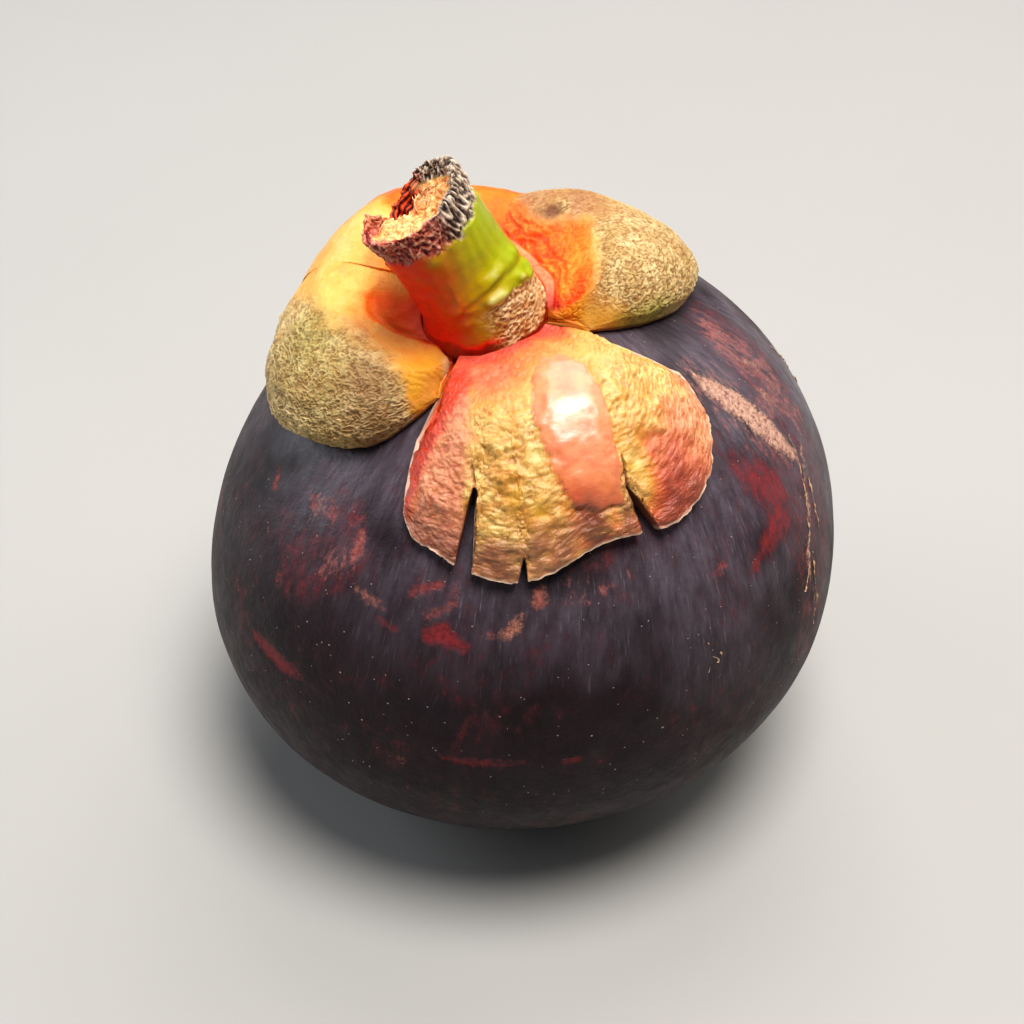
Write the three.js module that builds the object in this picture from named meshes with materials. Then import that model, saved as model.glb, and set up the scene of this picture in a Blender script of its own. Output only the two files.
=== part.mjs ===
// A whole mangosteen: the round fruit, its four calyx sepals, the cut stem between them and
// the dried stigma rosette underneath. Millimetres, +Z up. The origin lies on the ground,
// under the middle of the fruit's widest girth, with the front sepal towards -Y.
import * as THREE from "three";

// ---------------------------------------------------------------- driving dimensions
const GIRTH_RADIUS = 31; // half of the fruit's greatest width
const FRUIT_HEIGHT = 54.3; // from the ground to the top of the rind
const GIRTH_HEIGHT = 21.7; // where the fruit is widest
const LEAN = [3.74, -0.77]; // how far the top stands sideways of the bottom
const FLAT_RADIUS = 9.5; // the flat spot that the fruit rests on
const HOLLOW_RADIUS = 6.9; // the shallow hollow inside the flat spot, which holds the rosette
const HOLLOW_DEPTH = 1.6;

const CALYX_CENTRE = [-5.5, -4.4]; // from the top of the rind, along the skin
const ROOT_RADIUS = 6.1; // where the sepals start, around the stem
const GAP = 0.35; // clearance between neighbouring pieces
const RIM_TUCK = 0.5; // how far a sepal's rim rolls back under its edge

const STEM_AXIS = [-0.45, -0.13, 0.88]; // the way that the stem leans
const STEM_LENGTH = 14.4;
const STEM_RADIUS = 5.1;
const CRATER_DEPTH = 2.2; // of the broken-off end
const BREAK = { bearing: 135, depth: 2.6 }; // where the end's rim is torn down

const ROSETTE_RADIUS = 6.2;
const ROSETTE_THICKNESS = 0.9;
const ROSETTE_LOBES = 6;

// How a sepal is shaped along its ribs. `pinch` narrows the fan at its root. `hollow` deepens
// the slope between root and crest. `dome` and `roll` round the way down from the crest to the
// edge, which stands `edge` of the crest's height over the skin.
const FOLDED = { pinch: 0.95, hollow: 1.3, dome: 2.1, roll: 1.4, edge: 0.24 };
const ROLLED = { pinch: 0.95, hollow: 1.2, dome: 2.4, roll: 1.6, edge: 0.22 };
const SPREAD = { pinch: 0.88, hollow: 0.8, dome: 1.4, roll: 1, edge: 0.28 };

// Each sepal is a fan of ribs around the stem. A rib is [bearing, reach, crest, crestAt, root]:
// its compass bearing in degrees from +X towards +Y, how far it reaches over the skin from the
// stem's centre, how high its crest stands over the skin, where along the rib the crest lies,
// and how high the root stands as a share of the crest.
const SEPALS = {
  sepal_left: {
    form: FOLDED,
    colour: 0x9c7b3e,
    ribs: [
      [243, 9.4, 1.6, 0.38, 0.14],
      [228, 15, 4.2, 0.38, 0.14],
      [207, 18.4, 5.6, 0.38, 0.14],
      [189, 20.6, 6.2, 0.39, 0.14],
      [170, 21.2, 6.4, 0.43, 0.26],
      [150.8, 20.4, 6.4, 0.5, 0.6],
    ],
  },
  sepal_back: {
    form: ROLLED,
    colour: 0xd9a03c,
    ribs: [
      [149.2, 20.2, 6.4, 0.5, 0.6],
      [132, 20.8, 7.3, 0.52, 0.5],
      [114, 21.5, 7.4, 0.55, 0.35],
      [96, 21, 5.9, 0.55, 0.3],
      [77.8, 18.8, 4.6, 0.5, 0.3],
    ],
  },
  sepal_right: {
    form: FOLDED,
    colour: 0xa8864a,
    ribs: [
      [76.2, 18.6, 4.7, 0.48, 0.3],
      [61, 21.2, 5.5, 0.4, 0.26],
      [45, 23, 5.2, 0.37, 0.24],
      [28, 22.2, 5.4, 0.36, 0.24],
      [12, 18.9, 5.3, 0.36, 0.22],
      [-2, 14.2, 3.8, 0.38, 0.2],
      [-12, 9.8, 1.8, 0.38, 0.2],
    ],
  },
  sepal_front: {
    form: SPREAD,
    colour: 0xc07a48,
    slits: [
      { bearing: 265.5, halfWidth: 1.8, depth: 10.4 },
      { bearing: 278, halfWidth: 1.4, depth: 2.4 },
      { bearing: 308, halfWidth: 1.8, depth: 7.6 },
    ],
    ribs: [
      [344, 18.6, 2, 0.4, 0.14],
      [335, 23.4, 3, 0.4, 0.14],
      [318, 26.5, 3.6, 0.4, 0.14],
      [299, 24.8, 3.8, 0.4, 0.14],
      [278, 25.6, 3.6, 0.4, 0.14],
      [260, 22.8, 3, 0.4, 0.14],
      [249, 20.3, 2.4, 0.4, 0.14],
      [243.5, 13.4, 1.6, 0.4, 0.14],
    ],
  },
};

// ---------------------------------------------------------------- geometry helpers
const TOP_HEIGHT = FRUIT_HEIGHT - GIRTH_HEIGHT;
const SKIN_RADIUS = (GIRTH_RADIUS + TOP_HEIGHT) / 2; // mean radius of the upper rind
const radians = THREE.MathUtils.degToRad;

function leanOffset(z) {
  const share = (z - GIRTH_HEIGHT) / FRUIT_HEIGHT;
  return [LEAN[0] * share, LEAN[1] * share];
}

// The point `lift` above the upper skin, `p` and `q` along the skin from the fruit's top.
function skinPoint(p, q, lift) {
  const latitude = Math.PI / 2 - Math.hypot(p, q) / SKIN_RADIUS;
  const bearing = Math.atan2(q, p);
  const radius = (GIRTH_RADIUS + lift) * Math.cos(latitude);
  const z = GIRTH_HEIGHT + (TOP_HEIGHT + lift) * Math.sin(latitude);
  const [dx, dy] = leanOffset(z);
  return new THREE.Vector3(radius * Math.cos(bearing) + dx, radius * Math.sin(bearing) + dy, z);
}

// The same point, by its distance and bearing from the calyx centre.
function calyxPoint(distance, bearing, lift) {
  const turn = radians(bearing);
  const p = CALYX_CENTRE[0] + distance * Math.cos(turn);
  const q = CALYX_CENTRE[1] + distance * Math.sin(turn);
  return skinPoint(p, q, lift);
}

function geometryOf(points, triangles) {
  const geometry = new THREE.BufferGeometry().setFromPoints(points);
  geometry.setIndex(triangles);
  geometry.computeVertexNormals();
  return geometry;
}

// A closed solid between two grids of points, `top` over `bottom`, both [row][column].
function slab(top, bottom) {
  const rows = top.length;
  const columns = top[0].length;
  const points = [...top.flat(), ...bottom.flat()];
  const over = (i, j) => i * columns + j;
  const under = (i, j) => rows * columns + over(i, j);
  const triangles = [];
  const quad = (a, b, c, d) => triangles.push(a, c, b, a, d, c);
  for (let i = 0; i < rows - 1; i++) {
    for (let j = 0; j < columns - 1; j++) {
      quad(over(i, j), over(i, j + 1), over(i + 1, j + 1), over(i + 1, j));
      quad(under(i, j), under(i + 1, j), under(i + 1, j + 1), under(i, j + 1));
    }
    quad(over(i, 0), over(i + 1, 0), under(i + 1, 0), under(i, 0));
    const k = columns - 1;
    quad(over(i, k), under(i, k), under(i + 1, k), over(i + 1, k));
  }
  for (let j = 0; j < columns - 1; j++) {
    quad(over(0, j), under(0, j), under(0, j + 1), over(0, j + 1));
    const k = rows - 1;
    quad(over(k, j), over(k, j + 1), under(k, j + 1), under(k, j));
  }
  return geometryOf(points, triangles);
}

// A closed solid through rings of equal length, with a flat fan over each end.
function loft(rings) {
  const count = rings[0].length;
  const points = rings.flat();
  const triangles = [];
  for (let i = 0; i < rings.length - 1; i++) {
    for (let j = 0; j < count; j++) {
      const a = i * count + j;
      const b = i * count + ((j + 1) % count);
      triangles.push(a, b, b + count, a, b + count, a + count);
    }
  }
  for (const [ring, flip] of [[0, true], [rings.length - 1, false]]) {
    const middle = points.length;
    const centre = new THREE.Vector3();
    rings[ring].forEach((point) => centre.addScaledVector(point, 1 / count));
    points.push(centre);
    for (let j = 0; j < count; j++) {
      const a = ring * count + j;
      const b = ring * count + ((j + 1) % count);
      triangles.push(middle, flip ? b : a, flip ? a : b);
    }
  }
  return geometryOf(points, triangles);
}

// ---------------------------------------------------------------- the fruit
// The rind's profile, as radius and height, from the middle of the hollow underneath to the
// top. The lower half is an ellipse cut off level, which leaves the flat spot.
function rindProfile(steps) {
  const cut = Math.sqrt(1 - (FLAT_RADIUS / GIRTH_RADIUS) ** 2);
  const lowerRadius = GIRTH_HEIGHT / cut;
  const lowest = -Math.acos(FLAT_RADIUS / GIRTH_RADIUS);
  const profile = [
    [0, HOLLOW_DEPTH + 0.3],
    [HOLLOW_RADIUS * 0.5, HOLLOW_DEPTH + 0.2],
    [HOLLOW_RADIUS * 0.93, HOLLOW_DEPTH],
    [HOLLOW_RADIUS, 0],
  ];
  for (let i = 0; i <= steps; i++) {
    const latitude = lowest * (1 - i / steps);
    profile.push([GIRTH_RADIUS * Math.cos(latitude), GIRTH_HEIGHT + lowerRadius * Math.sin(latitude)]);
  }
  for (let i = 1; i < steps; i++) {
    const latitude = (Math.PI / 2) * (i / steps);
    profile.push([GIRTH_RADIUS * Math.cos(latitude), GIRTH_HEIGHT + TOP_HEIGHT * Math.sin(latitude)]);
  }
  profile.push([0, FRUIT_HEIGHT]);
  return profile.map(([radius, height]) => new THREE.Vector2(radius, height));
}

function fruitBody() {
  const geometry = new THREE.LatheGeometry(rindProfile(14), 48).rotateX(Math.PI / 2);
  const position = geometry.getAttribute("position");
  for (let i = 0; i < position.count; i++) {
    const [dx, dy] = leanOffset(position.getZ(i));
    position.setXY(i, position.getX(i) + dx, position.getY(i) + dy);
  }
  return geometry;
}

// ---------------------------------------------------------------- the sepals
function slitCut(slits, bearing) {
  let cut = 0;
  for (const slit of slits) {
    const inside = 1 - Math.abs(bearing - slit.bearing) / slit.halfWidth;
    cut = Math.max(cut, slit.depth * Math.max(0, inside));
  }
  return cut;
}

// How far along the fan each row of the solid lies: even steps, and one at each slit's edges
// and tip.
function fanStations(fan, slits, steps) {
  const stations = Array.from({ length: steps + 1 }, (_, i) => i / steps);
  const bearingAt = (t) => fan.getPoint(t).x;
  for (const { bearing, halfWidth } of slits) {
    for (const edge of [bearing - halfWidth, bearing, bearing + halfWidth]) {
      let [low, high] = [0, 1];
      for (let i = 0; i < 30; i++) {
        const middle = (low + high) / 2;
        if (bearingAt(middle) > edge) low = middle;
        else high = middle;
      }
      stations.push(low);
    }
  }
  return stations.sort((a, b) => a - b).filter((t, i, all) => i === 0 || t - all[i - 1] > 1e-4);
}

// How high a rib stands over the skin at a share of its full reach.
function ribLift(share, { crest, crestAt, root }, form) {
  if (share < crestAt) {
    const climb = THREE.MathUtils.smoothstep((share / crestAt) ** form.hollow, 0, 1);
    return THREE.MathUtils.lerp(GAP + 0.3 + root * crest, crest, climb);
  }
  const beyond = Math.min(1, (share - crestAt) / (1 - crestAt));
  const left = (1 - beyond ** form.dome) ** (1 / form.roll);
  return THREE.MathUtils.lerp(GAP + form.edge * crest, crest, left);
}

// A sepal, rib by rib: its upper side runs from the root over the crest to the edge, and tucks
// in under it. Its underside follows the skin.
function sepal({ form, ribs, slits = [] }) {
  const along = 14;
  const middle = (ribs[0][0] + ribs.at(-1)[0]) / 2;
  const fan = new THREE.CatmullRomCurve3(ribs.map((rib) => new THREE.Vector3(...rib)));
  const folds = new THREE.CatmullRomCurve3(ribs.map((rib) => new THREE.Vector3(rib[0], rib[3], rib[4])));
  const top = [];
  const bottom = [];
  for (const station of fanStations(fan, slits, slits.length ? 28 : 16)) {
    const { x: bearing, y: fullReach, z: crest } = fan.getPoint(station);
    const { y: crestAt, z: root } = folds.getPoint(station);
    const reach = fullReach - slitCut(slits, bearing);
    const place = (distance, lift) => {
      const share = (distance - ROOT_RADIUS) / (fullReach - ROOT_RADIUS);
      const width = form.pinch + (1 - form.pinch) * share;
      return calyxPoint(distance, middle + (bearing - middle) * width, lift);
    };
    const over = [];
    const under = [];
    for (let j = 0; j <= along; j++) {
      const eased = 1 - (1 - j / along) ** 1.6;
      const distance = THREE.MathUtils.lerp(ROOT_RADIUS, reach, eased);
      const share = (distance - ROOT_RADIUS) / (fullReach - ROOT_RADIUS);
      over.push(place(distance, ribLift(share, { crest, crestAt, root }, form)));
      under.push(place(THREE.MathUtils.lerp(ROOT_RADIUS, reach - RIM_TUCK - 0.2, eased), GAP));
    }
    over.push(place(reach - RIM_TUCK, GAP + 0.2));
    under.push(place(reach - RIM_TUCK, GAP));
    top.push(over);
    bottom.push(under);
  }
  return slab(top, bottom);
}

// ---------------------------------------------------------------- the stem
// Rings along a slightly bent axis: a flared foot, a narrower neck, a crusted rim that stands
// highest at the back, and the sunken face of the broken end.
function stem() {
  const count = 24;
  const foot = calyxPoint(0, 0, GAP);
  const upright = calyxPoint(0, 0, 1).sub(calyxPoint(0, 0, 0)).normalize();
  const lean = new THREE.Vector3(...STEM_AXIS).normalize();
  const neck = foot.clone().addScaledVector(upright, STEM_LENGTH * 0.25);
  const end = foot.clone().addScaledVector(lean, STEM_LENGTH);
  const axis = new THREE.QuadraticBezierCurve3(foot, neck, end);
  const stations = [
    [0, 1.06], [0.08, 1.1], [0.2, 1.08], [0.35, 1.02], [0.5, 0.97],
    [0.65, 0.95], [0.8, 0.96], [0.9, 1.02], [0.96, 1.07], [1, 1.02],
  ];
  const ring = (share, radius, sink) => {
    const centre = axis.getPoint(share);
    const along = axis.getTangent(share);
    const side = new THREE.Vector3(0, 1, 0).cross(along).normalize();
    const far = along.clone().cross(side);
    return Array.from({ length: count }, (_, i) => {
      const turn = (2 * Math.PI * i) / count;
      const torn = BREAK.depth * Math.max(0, Math.cos(turn - radians(BREAK.bearing))) ** 3;
      const give = THREE.MathUtils.smoothstep(share, 0.5, 1);
      const ragged = give * (0.3 * Math.cos(3 * turn) - 0.4 * Math.sin(turn) - torn);
      return centre
        .clone()
        .addScaledVector(side, radius * Math.cos(turn))
        .addScaledVector(far, radius * Math.sin(turn))
        .addScaledVector(along, ragged - sink);
    });
  };
  const rings = stations.map(([share, scale]) => ring(share, STEM_RADIUS * scale, 0));
  rings.push(ring(1, STEM_RADIUS * 0.82, 0.1));
  rings.push(ring(1, STEM_RADIUS * 0.66, CRATER_DEPTH * 0.8));
  rings.push(ring(1, STEM_RADIUS * 0.3, CRATER_DEPTH));
  return loft(rings);
}

// ---------------------------------------------------------------- the stigma rosette
// A flat woody flower of blunt lobes, which lies in the hollow under the fruit.
function stigmaRosette() {
  const outline = new THREE.Shape();
  const steps = 12 * ROSETTE_LOBES;
  for (let i = 0; i < steps; i++) {
    const turn = (2 * Math.PI * i) / steps;
    const lobe = Math.abs(Math.cos((ROSETTE_LOBES * turn) / 2)) ** 0.5;
    const radius = ROSETTE_RADIUS * (0.62 + 0.38 * lobe);
    if (i === 0) outline.moveTo(radius, 0);
    else outline.lineTo(radius * Math.cos(turn), radius * Math.sin(turn));
  }
  outline.closePath();
  const geometry = new THREE.ExtrudeGeometry(outline, { depth: ROSETTE_THICKNESS, bevelEnabled: false });
  const [dx, dy] = leanOffset(0);
  return geometry.translate(dx, dy, GAP - 0.05);
}

// ---------------------------------------------------------------- the whole fruit
function piece(name, geometry, colour, roughness) {
  const material = new THREE.MeshStandardMaterial({ color: colour, roughness, metalness: 0 });
  const mesh = new THREE.Mesh(geometry, material);
  mesh.name = name;
  return mesh;
}

const mangosteen = new THREE.Group();
mangosteen.name = "mangosteen";
mangosteen.add(piece("fruit_body", fruitBody(), 0x2b1a24, 0.45));
mangosteen.add(piece("stem", stem(), 0xb5a432, 0.5));
for (const [name, design] of Object.entries(SEPALS)) {
  mangosteen.add(piece(name, sepal(design), design.colour, 0.65));
}
mangosteen.add(piece("stigma_rosette", stigmaRosette(), 0x4a3526, 0.8));

export default mangosteen;
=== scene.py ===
import itertools
import math

import bmesh
import bpy
import numpy as np
from bpy.props import FloatProperty, FloatVectorProperty, IntProperty, PointerProperty
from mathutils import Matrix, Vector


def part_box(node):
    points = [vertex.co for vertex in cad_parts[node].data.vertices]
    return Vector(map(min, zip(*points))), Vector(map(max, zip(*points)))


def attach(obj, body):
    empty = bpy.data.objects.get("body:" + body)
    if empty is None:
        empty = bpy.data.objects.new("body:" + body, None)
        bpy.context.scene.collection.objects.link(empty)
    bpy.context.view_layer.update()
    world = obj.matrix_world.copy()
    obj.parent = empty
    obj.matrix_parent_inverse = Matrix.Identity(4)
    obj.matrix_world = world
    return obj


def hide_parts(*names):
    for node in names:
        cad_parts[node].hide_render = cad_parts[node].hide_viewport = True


bl_info = {
    "name": "Mangosteen",
    "version": (1, 0, 0),
    "blender": (4, 5, 0),
    "location": "3D View > Sidebar > Mangosteen",
    "description": "Skin, calyx, stem and stage of a whole mangosteen, built over its packed frame",
    "category": "Object",
}

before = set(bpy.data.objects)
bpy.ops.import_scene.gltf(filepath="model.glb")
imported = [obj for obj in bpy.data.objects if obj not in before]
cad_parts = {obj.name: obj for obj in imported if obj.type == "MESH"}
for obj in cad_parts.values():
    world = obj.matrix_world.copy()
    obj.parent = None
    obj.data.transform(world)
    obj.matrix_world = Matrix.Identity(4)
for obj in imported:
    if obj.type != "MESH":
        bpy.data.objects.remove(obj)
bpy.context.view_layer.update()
RIND_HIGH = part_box("fruit_body")[1]

# Sizes in this file's geometry are millimetres; MM turns them into the scene's metres.
MM = 0.001

# ---------------------------------------------------------------- the fruit's form, as in the frame
# The height of the widest place, how far the axis leans to x and y over the height, and the flat
# spot and the hollow underneath.
GIRTH_HEIGHT = 21.7
LEAN = (3.74, -0.77)
FLAT_RADIUS = 9.5
HOLLOW_RADIUS = 6.9
HOLLOW_DEPTH = 1.6
HOLLOW_TOP = HOLLOW_DEPTH + 0.3
# The calyx: its centre along the skin from the top, where the ribs begin, the clearance over the
# skin, and the way the stem leans.
CALYX_CENTRE = (-5.5, -4.4)
ROOT_RADIUS = 6.1
GAP = 0.35
# Where the sepals begin, from the calyx centre, and how high their undersides lie over the skin.
SEPAL_START = ROOT_RADIUS - 0.75
UNDERSIDE = GAP - 0.28
STEM_AXIS = (-0.45, -0.13, 0.88)

# How a sepal is shaped: the pinch of its root, the hollow of its inner slope, the rounding of
# its outer slope (two numbers) and the height of its edge as a share of the crest.
FOLDED = (0.95, 1.3, 2.1, 1.4, 0.24)
ROLLED = (0.95, 1.2, 2.4, 1.6, 0.22)
SPREAD = (0.88, 0.8, 1.4, 1.0, 0.28)

# Ribs: bearing, reach, crest height, where the crest lies along the rib, and the root's height
# as a share of the crest. Slits: bearing, half width in degrees, depth, how square their end is,
# and how far they lean, in degrees.
SEPALS = {
    "left": {
        "form": FOLDED,
        "ribs": [
            (243, 9.4, 1.6, 0.38, 0.4),
            (228, 15, 4.2, 0.38, 0.36),
            (207, 18.4, 5.6, 0.38, 0.22),
            (189, 20.6, 6.2, 0.39, 0.14),
            (170, 21.2, 6.4, 0.43, 0.26),
            (150.8, 20.4, 6.4, 0.5, 0.6),
        ],
    },
    "back": {
        "form": ROLLED,
        "ribs": [
            (149.2, 20.2, 6.4, 0.5, 0.6),
            (132, 20.8, 7.3, 0.52, 0.5),
            (114, 21.5, 7.4, 0.55, 0.35),
            (96, 21, 5.9, 0.55, 0.3),
            (77.8, 18.8, 4.6, 0.5, 0.3),
        ],
    },
    "right": {
        "form": FOLDED,
        "ribs": [
            (76.2, 18.6, 4.7, 0.48, 0.3),
            (61, 21.2, 5.5, 0.4, 0.26),
            (45, 23, 5.2, 0.37, 0.24),
            (28, 22.2, 5.4, 0.36, 0.24),
            (12, 18.9, 5.3, 0.36, 0.22),
            (-2, 14.2, 3.8, 0.38, 0.2),
            (-12, 9.8, 1.8, 0.38, 0.2),
        ],
    },
    "front": {
        "form": SPREAD,
        "ribs": [
            (344, 18.6, 2, 0.4, 0.14),
            (335, 23.4, 3, 0.4, 0.14),
            (318, 26.5, 3.6, 0.4, 0.24),
            (299, 24.8, 3.8, 0.4, 0.32),
            (278, 25.6, 3.6, 0.4, 0.32),
            (260, 22.8, 3, 0.4, 0.36),
            (249, 20.3, 2.4, 0.4, 0.4),
            (243.5, 13.4, 1.6, 0.4, 0.5),
        ],
        "slits": [(265.6, 2.0, 6.4, 3, 1.6), (279, 1.1, 2.0, 1.4, 0.6), (308.3, 1.9, 4.6, 1.3, -1.2)],
    },
}
# Sides of a sepal that lie against a neighbour, as (first rib, last rib).
SEAMS = {"left": (False, True), "back": (True, True), "right": (True, False), "front": (False, False)}


# ---------------------------------------------------------------- settings
def colour(name, description, default):
    """A colour setting."""
    return FloatVectorProperty(
        name=name, description=description, default=default, subtype="COLOR", min=0, max=1
    )


def measure(name, description, default, precision=4):
    """A setting in metres."""
    return FloatProperty(
        name=name, description=description, default=default, unit="LENGTH", precision=precision
    )


def amount(name, description, default, least=0):
    """A setting that counts things."""
    return IntProperty(name=name, description=description, default=default, min=least)


class RindSettings(bpy.types.PropertyGroup):
    girth_radius: measure("Girth radius", "Half of the fruit's greatest width", 0.031)
    height: measure("Height", "From the ground to the top of the rind", RIND_HIGH[2])
    swell: measure("Swell", "How far the rind's soft dents go in", 0.00022, 5)
    dark: colour("Ripe skin", "The rind's deep purple", (0.013, 0.004, 0.007))
    blush: colour("Blush", "The red that shows through where the skin is worn", (0.23, 0.028, 0.036))
    # Partly the wax's own grey and partly a painted sheen: the upper rind is painted lighter where the lamps
    # shine on it.
    wax_sheen: colour("Bloom", "The thin grey wax on the upper rind", (0.125, 0.10, 0.125))
    scar: colour("Scar cork", "The dry tissue over old wounds", (0.55, 0.33, 0.24))
    specks: amount("Specks", "How many pale specks lie on the rind", 1300)


class CalyxSettings(bpy.types.PropertyGroup):
    wrinkle: measure("Cork wrinkles", "How deep the sepals' corky wrinkles are", 0.00016, 5)
    flesh: colour("Flesh", "A sepal's yellow", (0.81, 0.52, 0.18))
    flush: colour("Flush", "A sepal's orange-red", (0.68, 0.05, 0.005))
    # The crest colour is partly the cork's own tan and partly a painted highlight.
    cork: colour("Cork", "The crests of the corky wrinkles", (0.76, 0.58, 0.30))


class StemSettings(bpy.types.PropertyGroup):
    length: measure("Length", "Along the stem", 0.0144)
    radius: measure("Radius", "Half of the stem's thickness", 0.0051)
    green: colour("Green", "The stem's lime green", (0.32, 0.38, 0.001))
    red: colour("Red", "The stem's red side", (0.85, 0.008, 0.0005))
    fibres: amount("Fibres", "How many torn fibres lie in the break", 120)


class RosetteSettings(bpy.types.PropertyGroup):
    radius: measure("Radius", "To the tips of the lobes", 0.0060)
    lobes: amount("Lobes", "One for each segment of the fruit", 6, 3)
    wood: colour("Wood", "The dry stigma's brown", (0.10, 0.055, 0.03))


class StageSettings(bpy.types.PropertyGroup):
    floor: colour("Floor", "The floor's pale grey", (0.40, 0.39, 0.375))
    key: FloatProperty(name="Key light", description="The soft light overhead", default=3.0, unit="POWER")


# ---------------------------------------------------------------- shape helpers
GRADIENTS = np.array([g for g in itertools.product((-1, 0, 1), repeat=3) if np.abs(g).sum() == 2], float)
# The hash that gives each corner of a noise cell its gradient.
PRIMES = np.array((374761393, 668265263, 1274126177))
WORD = 0xFFFFFFFF


def smooth(low, high, value):
    """0 up to `low` and 1 from `high` on, with an even, soft step between."""
    share = np.clip((value - low) / (high - low), 0.0, 1.0)
    return share * share * (3 - 2 * share)


def bell(value, width):
    """1 where `value` is 0, fading to 0 about twice `width` to both sides."""
    return np.exp(-((value / width) ** 2))


def mix(a, b, share):
    """From `a` at a share of 0 to `b` at 1."""
    return a + (b - a) * share


def grain(points, size, seed=0):
    """Smooth noise from about -1 to 1, with swells about `size` across."""
    spot = points / size + seed * 17.31
    cell = np.floor(spot).astype(np.int64)
    part = spot - cell
    ease = part**3 * (part * (part * 6 - 15) + 10)
    total = 0.0
    for corner in itertools.product((0, 1), repeat=3):
        key = ((cell + corner) @ PRIMES) & WORD
        key = ((key ^ (key >> 13)) * PRIMES[2]) & WORD
        slope = GRADIENTS[(key ^ (key >> 16)) % len(GRADIENTS)]
        weight = np.prod(np.where(corner, ease, 1 - ease), axis=-1)
        total = total + weight * ((part - corner) * slope).sum(-1)
    return total


def rough(points, size, layers, seed=0):
    """Noise in several layers, each half as large and half as strong as the last."""
    return sum(grain(points, size / 2**k, seed + k) / 2**k for k in range(layers))


def off_line(points, size, seed, sway, reach):
    """0 on the winding lines where noise changes sign, and more beside them."""
    drift = np.stack([grain(points, size * reach, seed + k) for k in (5, 6, 7)], -1)
    return np.abs(grain(points + sway * size * drift, size, seed))


def maze(points, size, seed=0):
    """Worm-like crests at 1 with narrow valleys at 0 between them."""
    return smooth(0.0, 0.42, off_line(points, size, seed, 0.35, 1.3))


def ridges(points, size, seed=0):
    """Thin wandering crests at 1 over broad valleys at 0."""
    return 1 - smooth(0.0, 0.3, off_line(points, size, seed, 0.4, 1.5))


def crepe(points, size, seed):
    """Thin crooked crests at 1, as on crumpled paper, with smaller ones between them."""
    large, small = ridges(points, size, seed), ridges(points, 0.55 * size, seed + 3)
    return 0.55 * large + 0.3 * small + 0.15 * maze(points, 0.4 * size, seed + 6)


def waves(run, points, gap, seed=0):
    """Wavy parallel crests at 1 with valleys at 0, `gap` apart along the measure `run`."""
    phase = run / gap + 1.2 * grain(points, gap * 3.5, seed) + 0.4 * grain(points, gap * 1.2, seed + 3)
    return 0.5 + 0.5 * np.cos(2 * np.pi * phase)


def run_along(line):
    """The distance from the first point to each point of a line."""
    return np.concatenate([[0], np.cumsum(np.linalg.norm(np.diff(line, axis=0), axis=1))])


def unit(vectors):
    """The same directions at length 1."""
    return vectors / np.linalg.norm(vectors, axis=-1, keepdims=True)


def from_table(table, place):
    """The value at a place between the rows of a table of (place, value)."""
    return np.interp(place, *np.array(table, float).T)


def spline(values, at):
    """The centripetal curve through rows of `values`, at shares from 0 to 1."""
    values = np.asarray(values, float)
    padded = np.vstack([2 * values[0] - values[1], values, 2 * values[-1] - values[-2]])
    place = np.clip(np.asarray(at, float), 0, 1) * (len(values) - 1)
    left = np.minimum(place.astype(int), len(values) - 2)
    t = (place - left)[:, None]
    x0, x1, x2, x3 = (padded[left + k] for k in range(4))
    d0, d1, d2 = (((b - a) ** 2).sum(1, keepdims=True) ** 0.25 for a, b in ((x0, x1), (x1, x2), (x2, x3)))
    m1 = ((x1 - x0) / d0 - (x2 - x0) / (d0 + d1) + (x2 - x1) / d1) * d1
    m2 = ((x2 - x1) / d1 - (x3 - x1) / (d1 + d2) + (x3 - x2) / d2) * d1
    return x1 + m1 * t + (3 * (x2 - x1) - 2 * m1 - m2) * t**2 + (2 * (x1 - x2) + m1 + m2) * t**3


def rind_size():
    """The girth's radius, the rise from it to the top, and the depth of the ellipse below it."""
    settings = bpy.context.scene.mangosteen_rind
    radius = settings.girth_radius / MM
    fall = GIRTH_HEIGHT / math.sqrt(1 - (FLAT_RADIUS / radius) ** 2)
    return radius, settings.height / MM - GIRTH_HEIGHT, fall


def lean_offset(z):
    """How far sideways the leaning fruit's axis stands at a height."""
    share = (z - GIRTH_HEIGHT) / (RIND_HIGH[2] / MM)
    return LEAN[0] * share, LEAN[1] * share


def skin_point(p, q, lift):
    """The point `lift` above the upper skin, `p` and `q` along the skin from the fruit's top."""
    radius, rise, _ = rind_size()
    latitude = np.pi / 2 - np.hypot(p, q) / ((radius + rise) / 2)
    bearing = np.arctan2(q, p)
    out = (radius + lift) * np.cos(latitude)
    z = GIRTH_HEIGHT + (rise + lift) * np.sin(latitude)
    dx, dy = lean_offset(z)
    return np.stack([out * np.cos(bearing) + dx, out * np.sin(bearing) + dy, z], -1)


def calyx_point(distance, bearing, lift):
    """The same point, by its distance and bearing from the calyx centre."""
    turn = np.radians(bearing)
    p, q = CALYX_CENTRE
    return skin_point(p + distance * np.cos(turn), q + distance * np.sin(turn), lift)


def inside_line(points, spots, widths):
    """How far inside a line through `spots`, with those half widths, each point is."""
    inside = np.full(points.shape[:-1], -99.0)
    for a, b, wide_a, wide_b in zip(spots, spots[1:], widths, widths[1:]):
        along = np.clip((points - a) @ (b - a) / ((b - a) @ (b - a)), 0, 1)
        away = np.linalg.norm(points - a - along[..., None] * (b - a), axis=-1)
        inside = np.maximum(inside, mix(wide_a, wide_b, along) - away)
    return inside


def grid_normals(grid, wrap=False):
    """Unit normals of a [row][column] grid of points; `wrap` joins the last column to the first."""
    if wrap:
        across = np.roll(grid, -1, 1) - np.roll(grid, 1, 1)
    else:
        across = np.gradient(grid, axis=1)
    normals = np.cross(np.gradient(grid, axis=0), across)
    return normals / np.maximum(np.linalg.norm(normals, axis=-1, keepdims=True), 1e-12)


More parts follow.
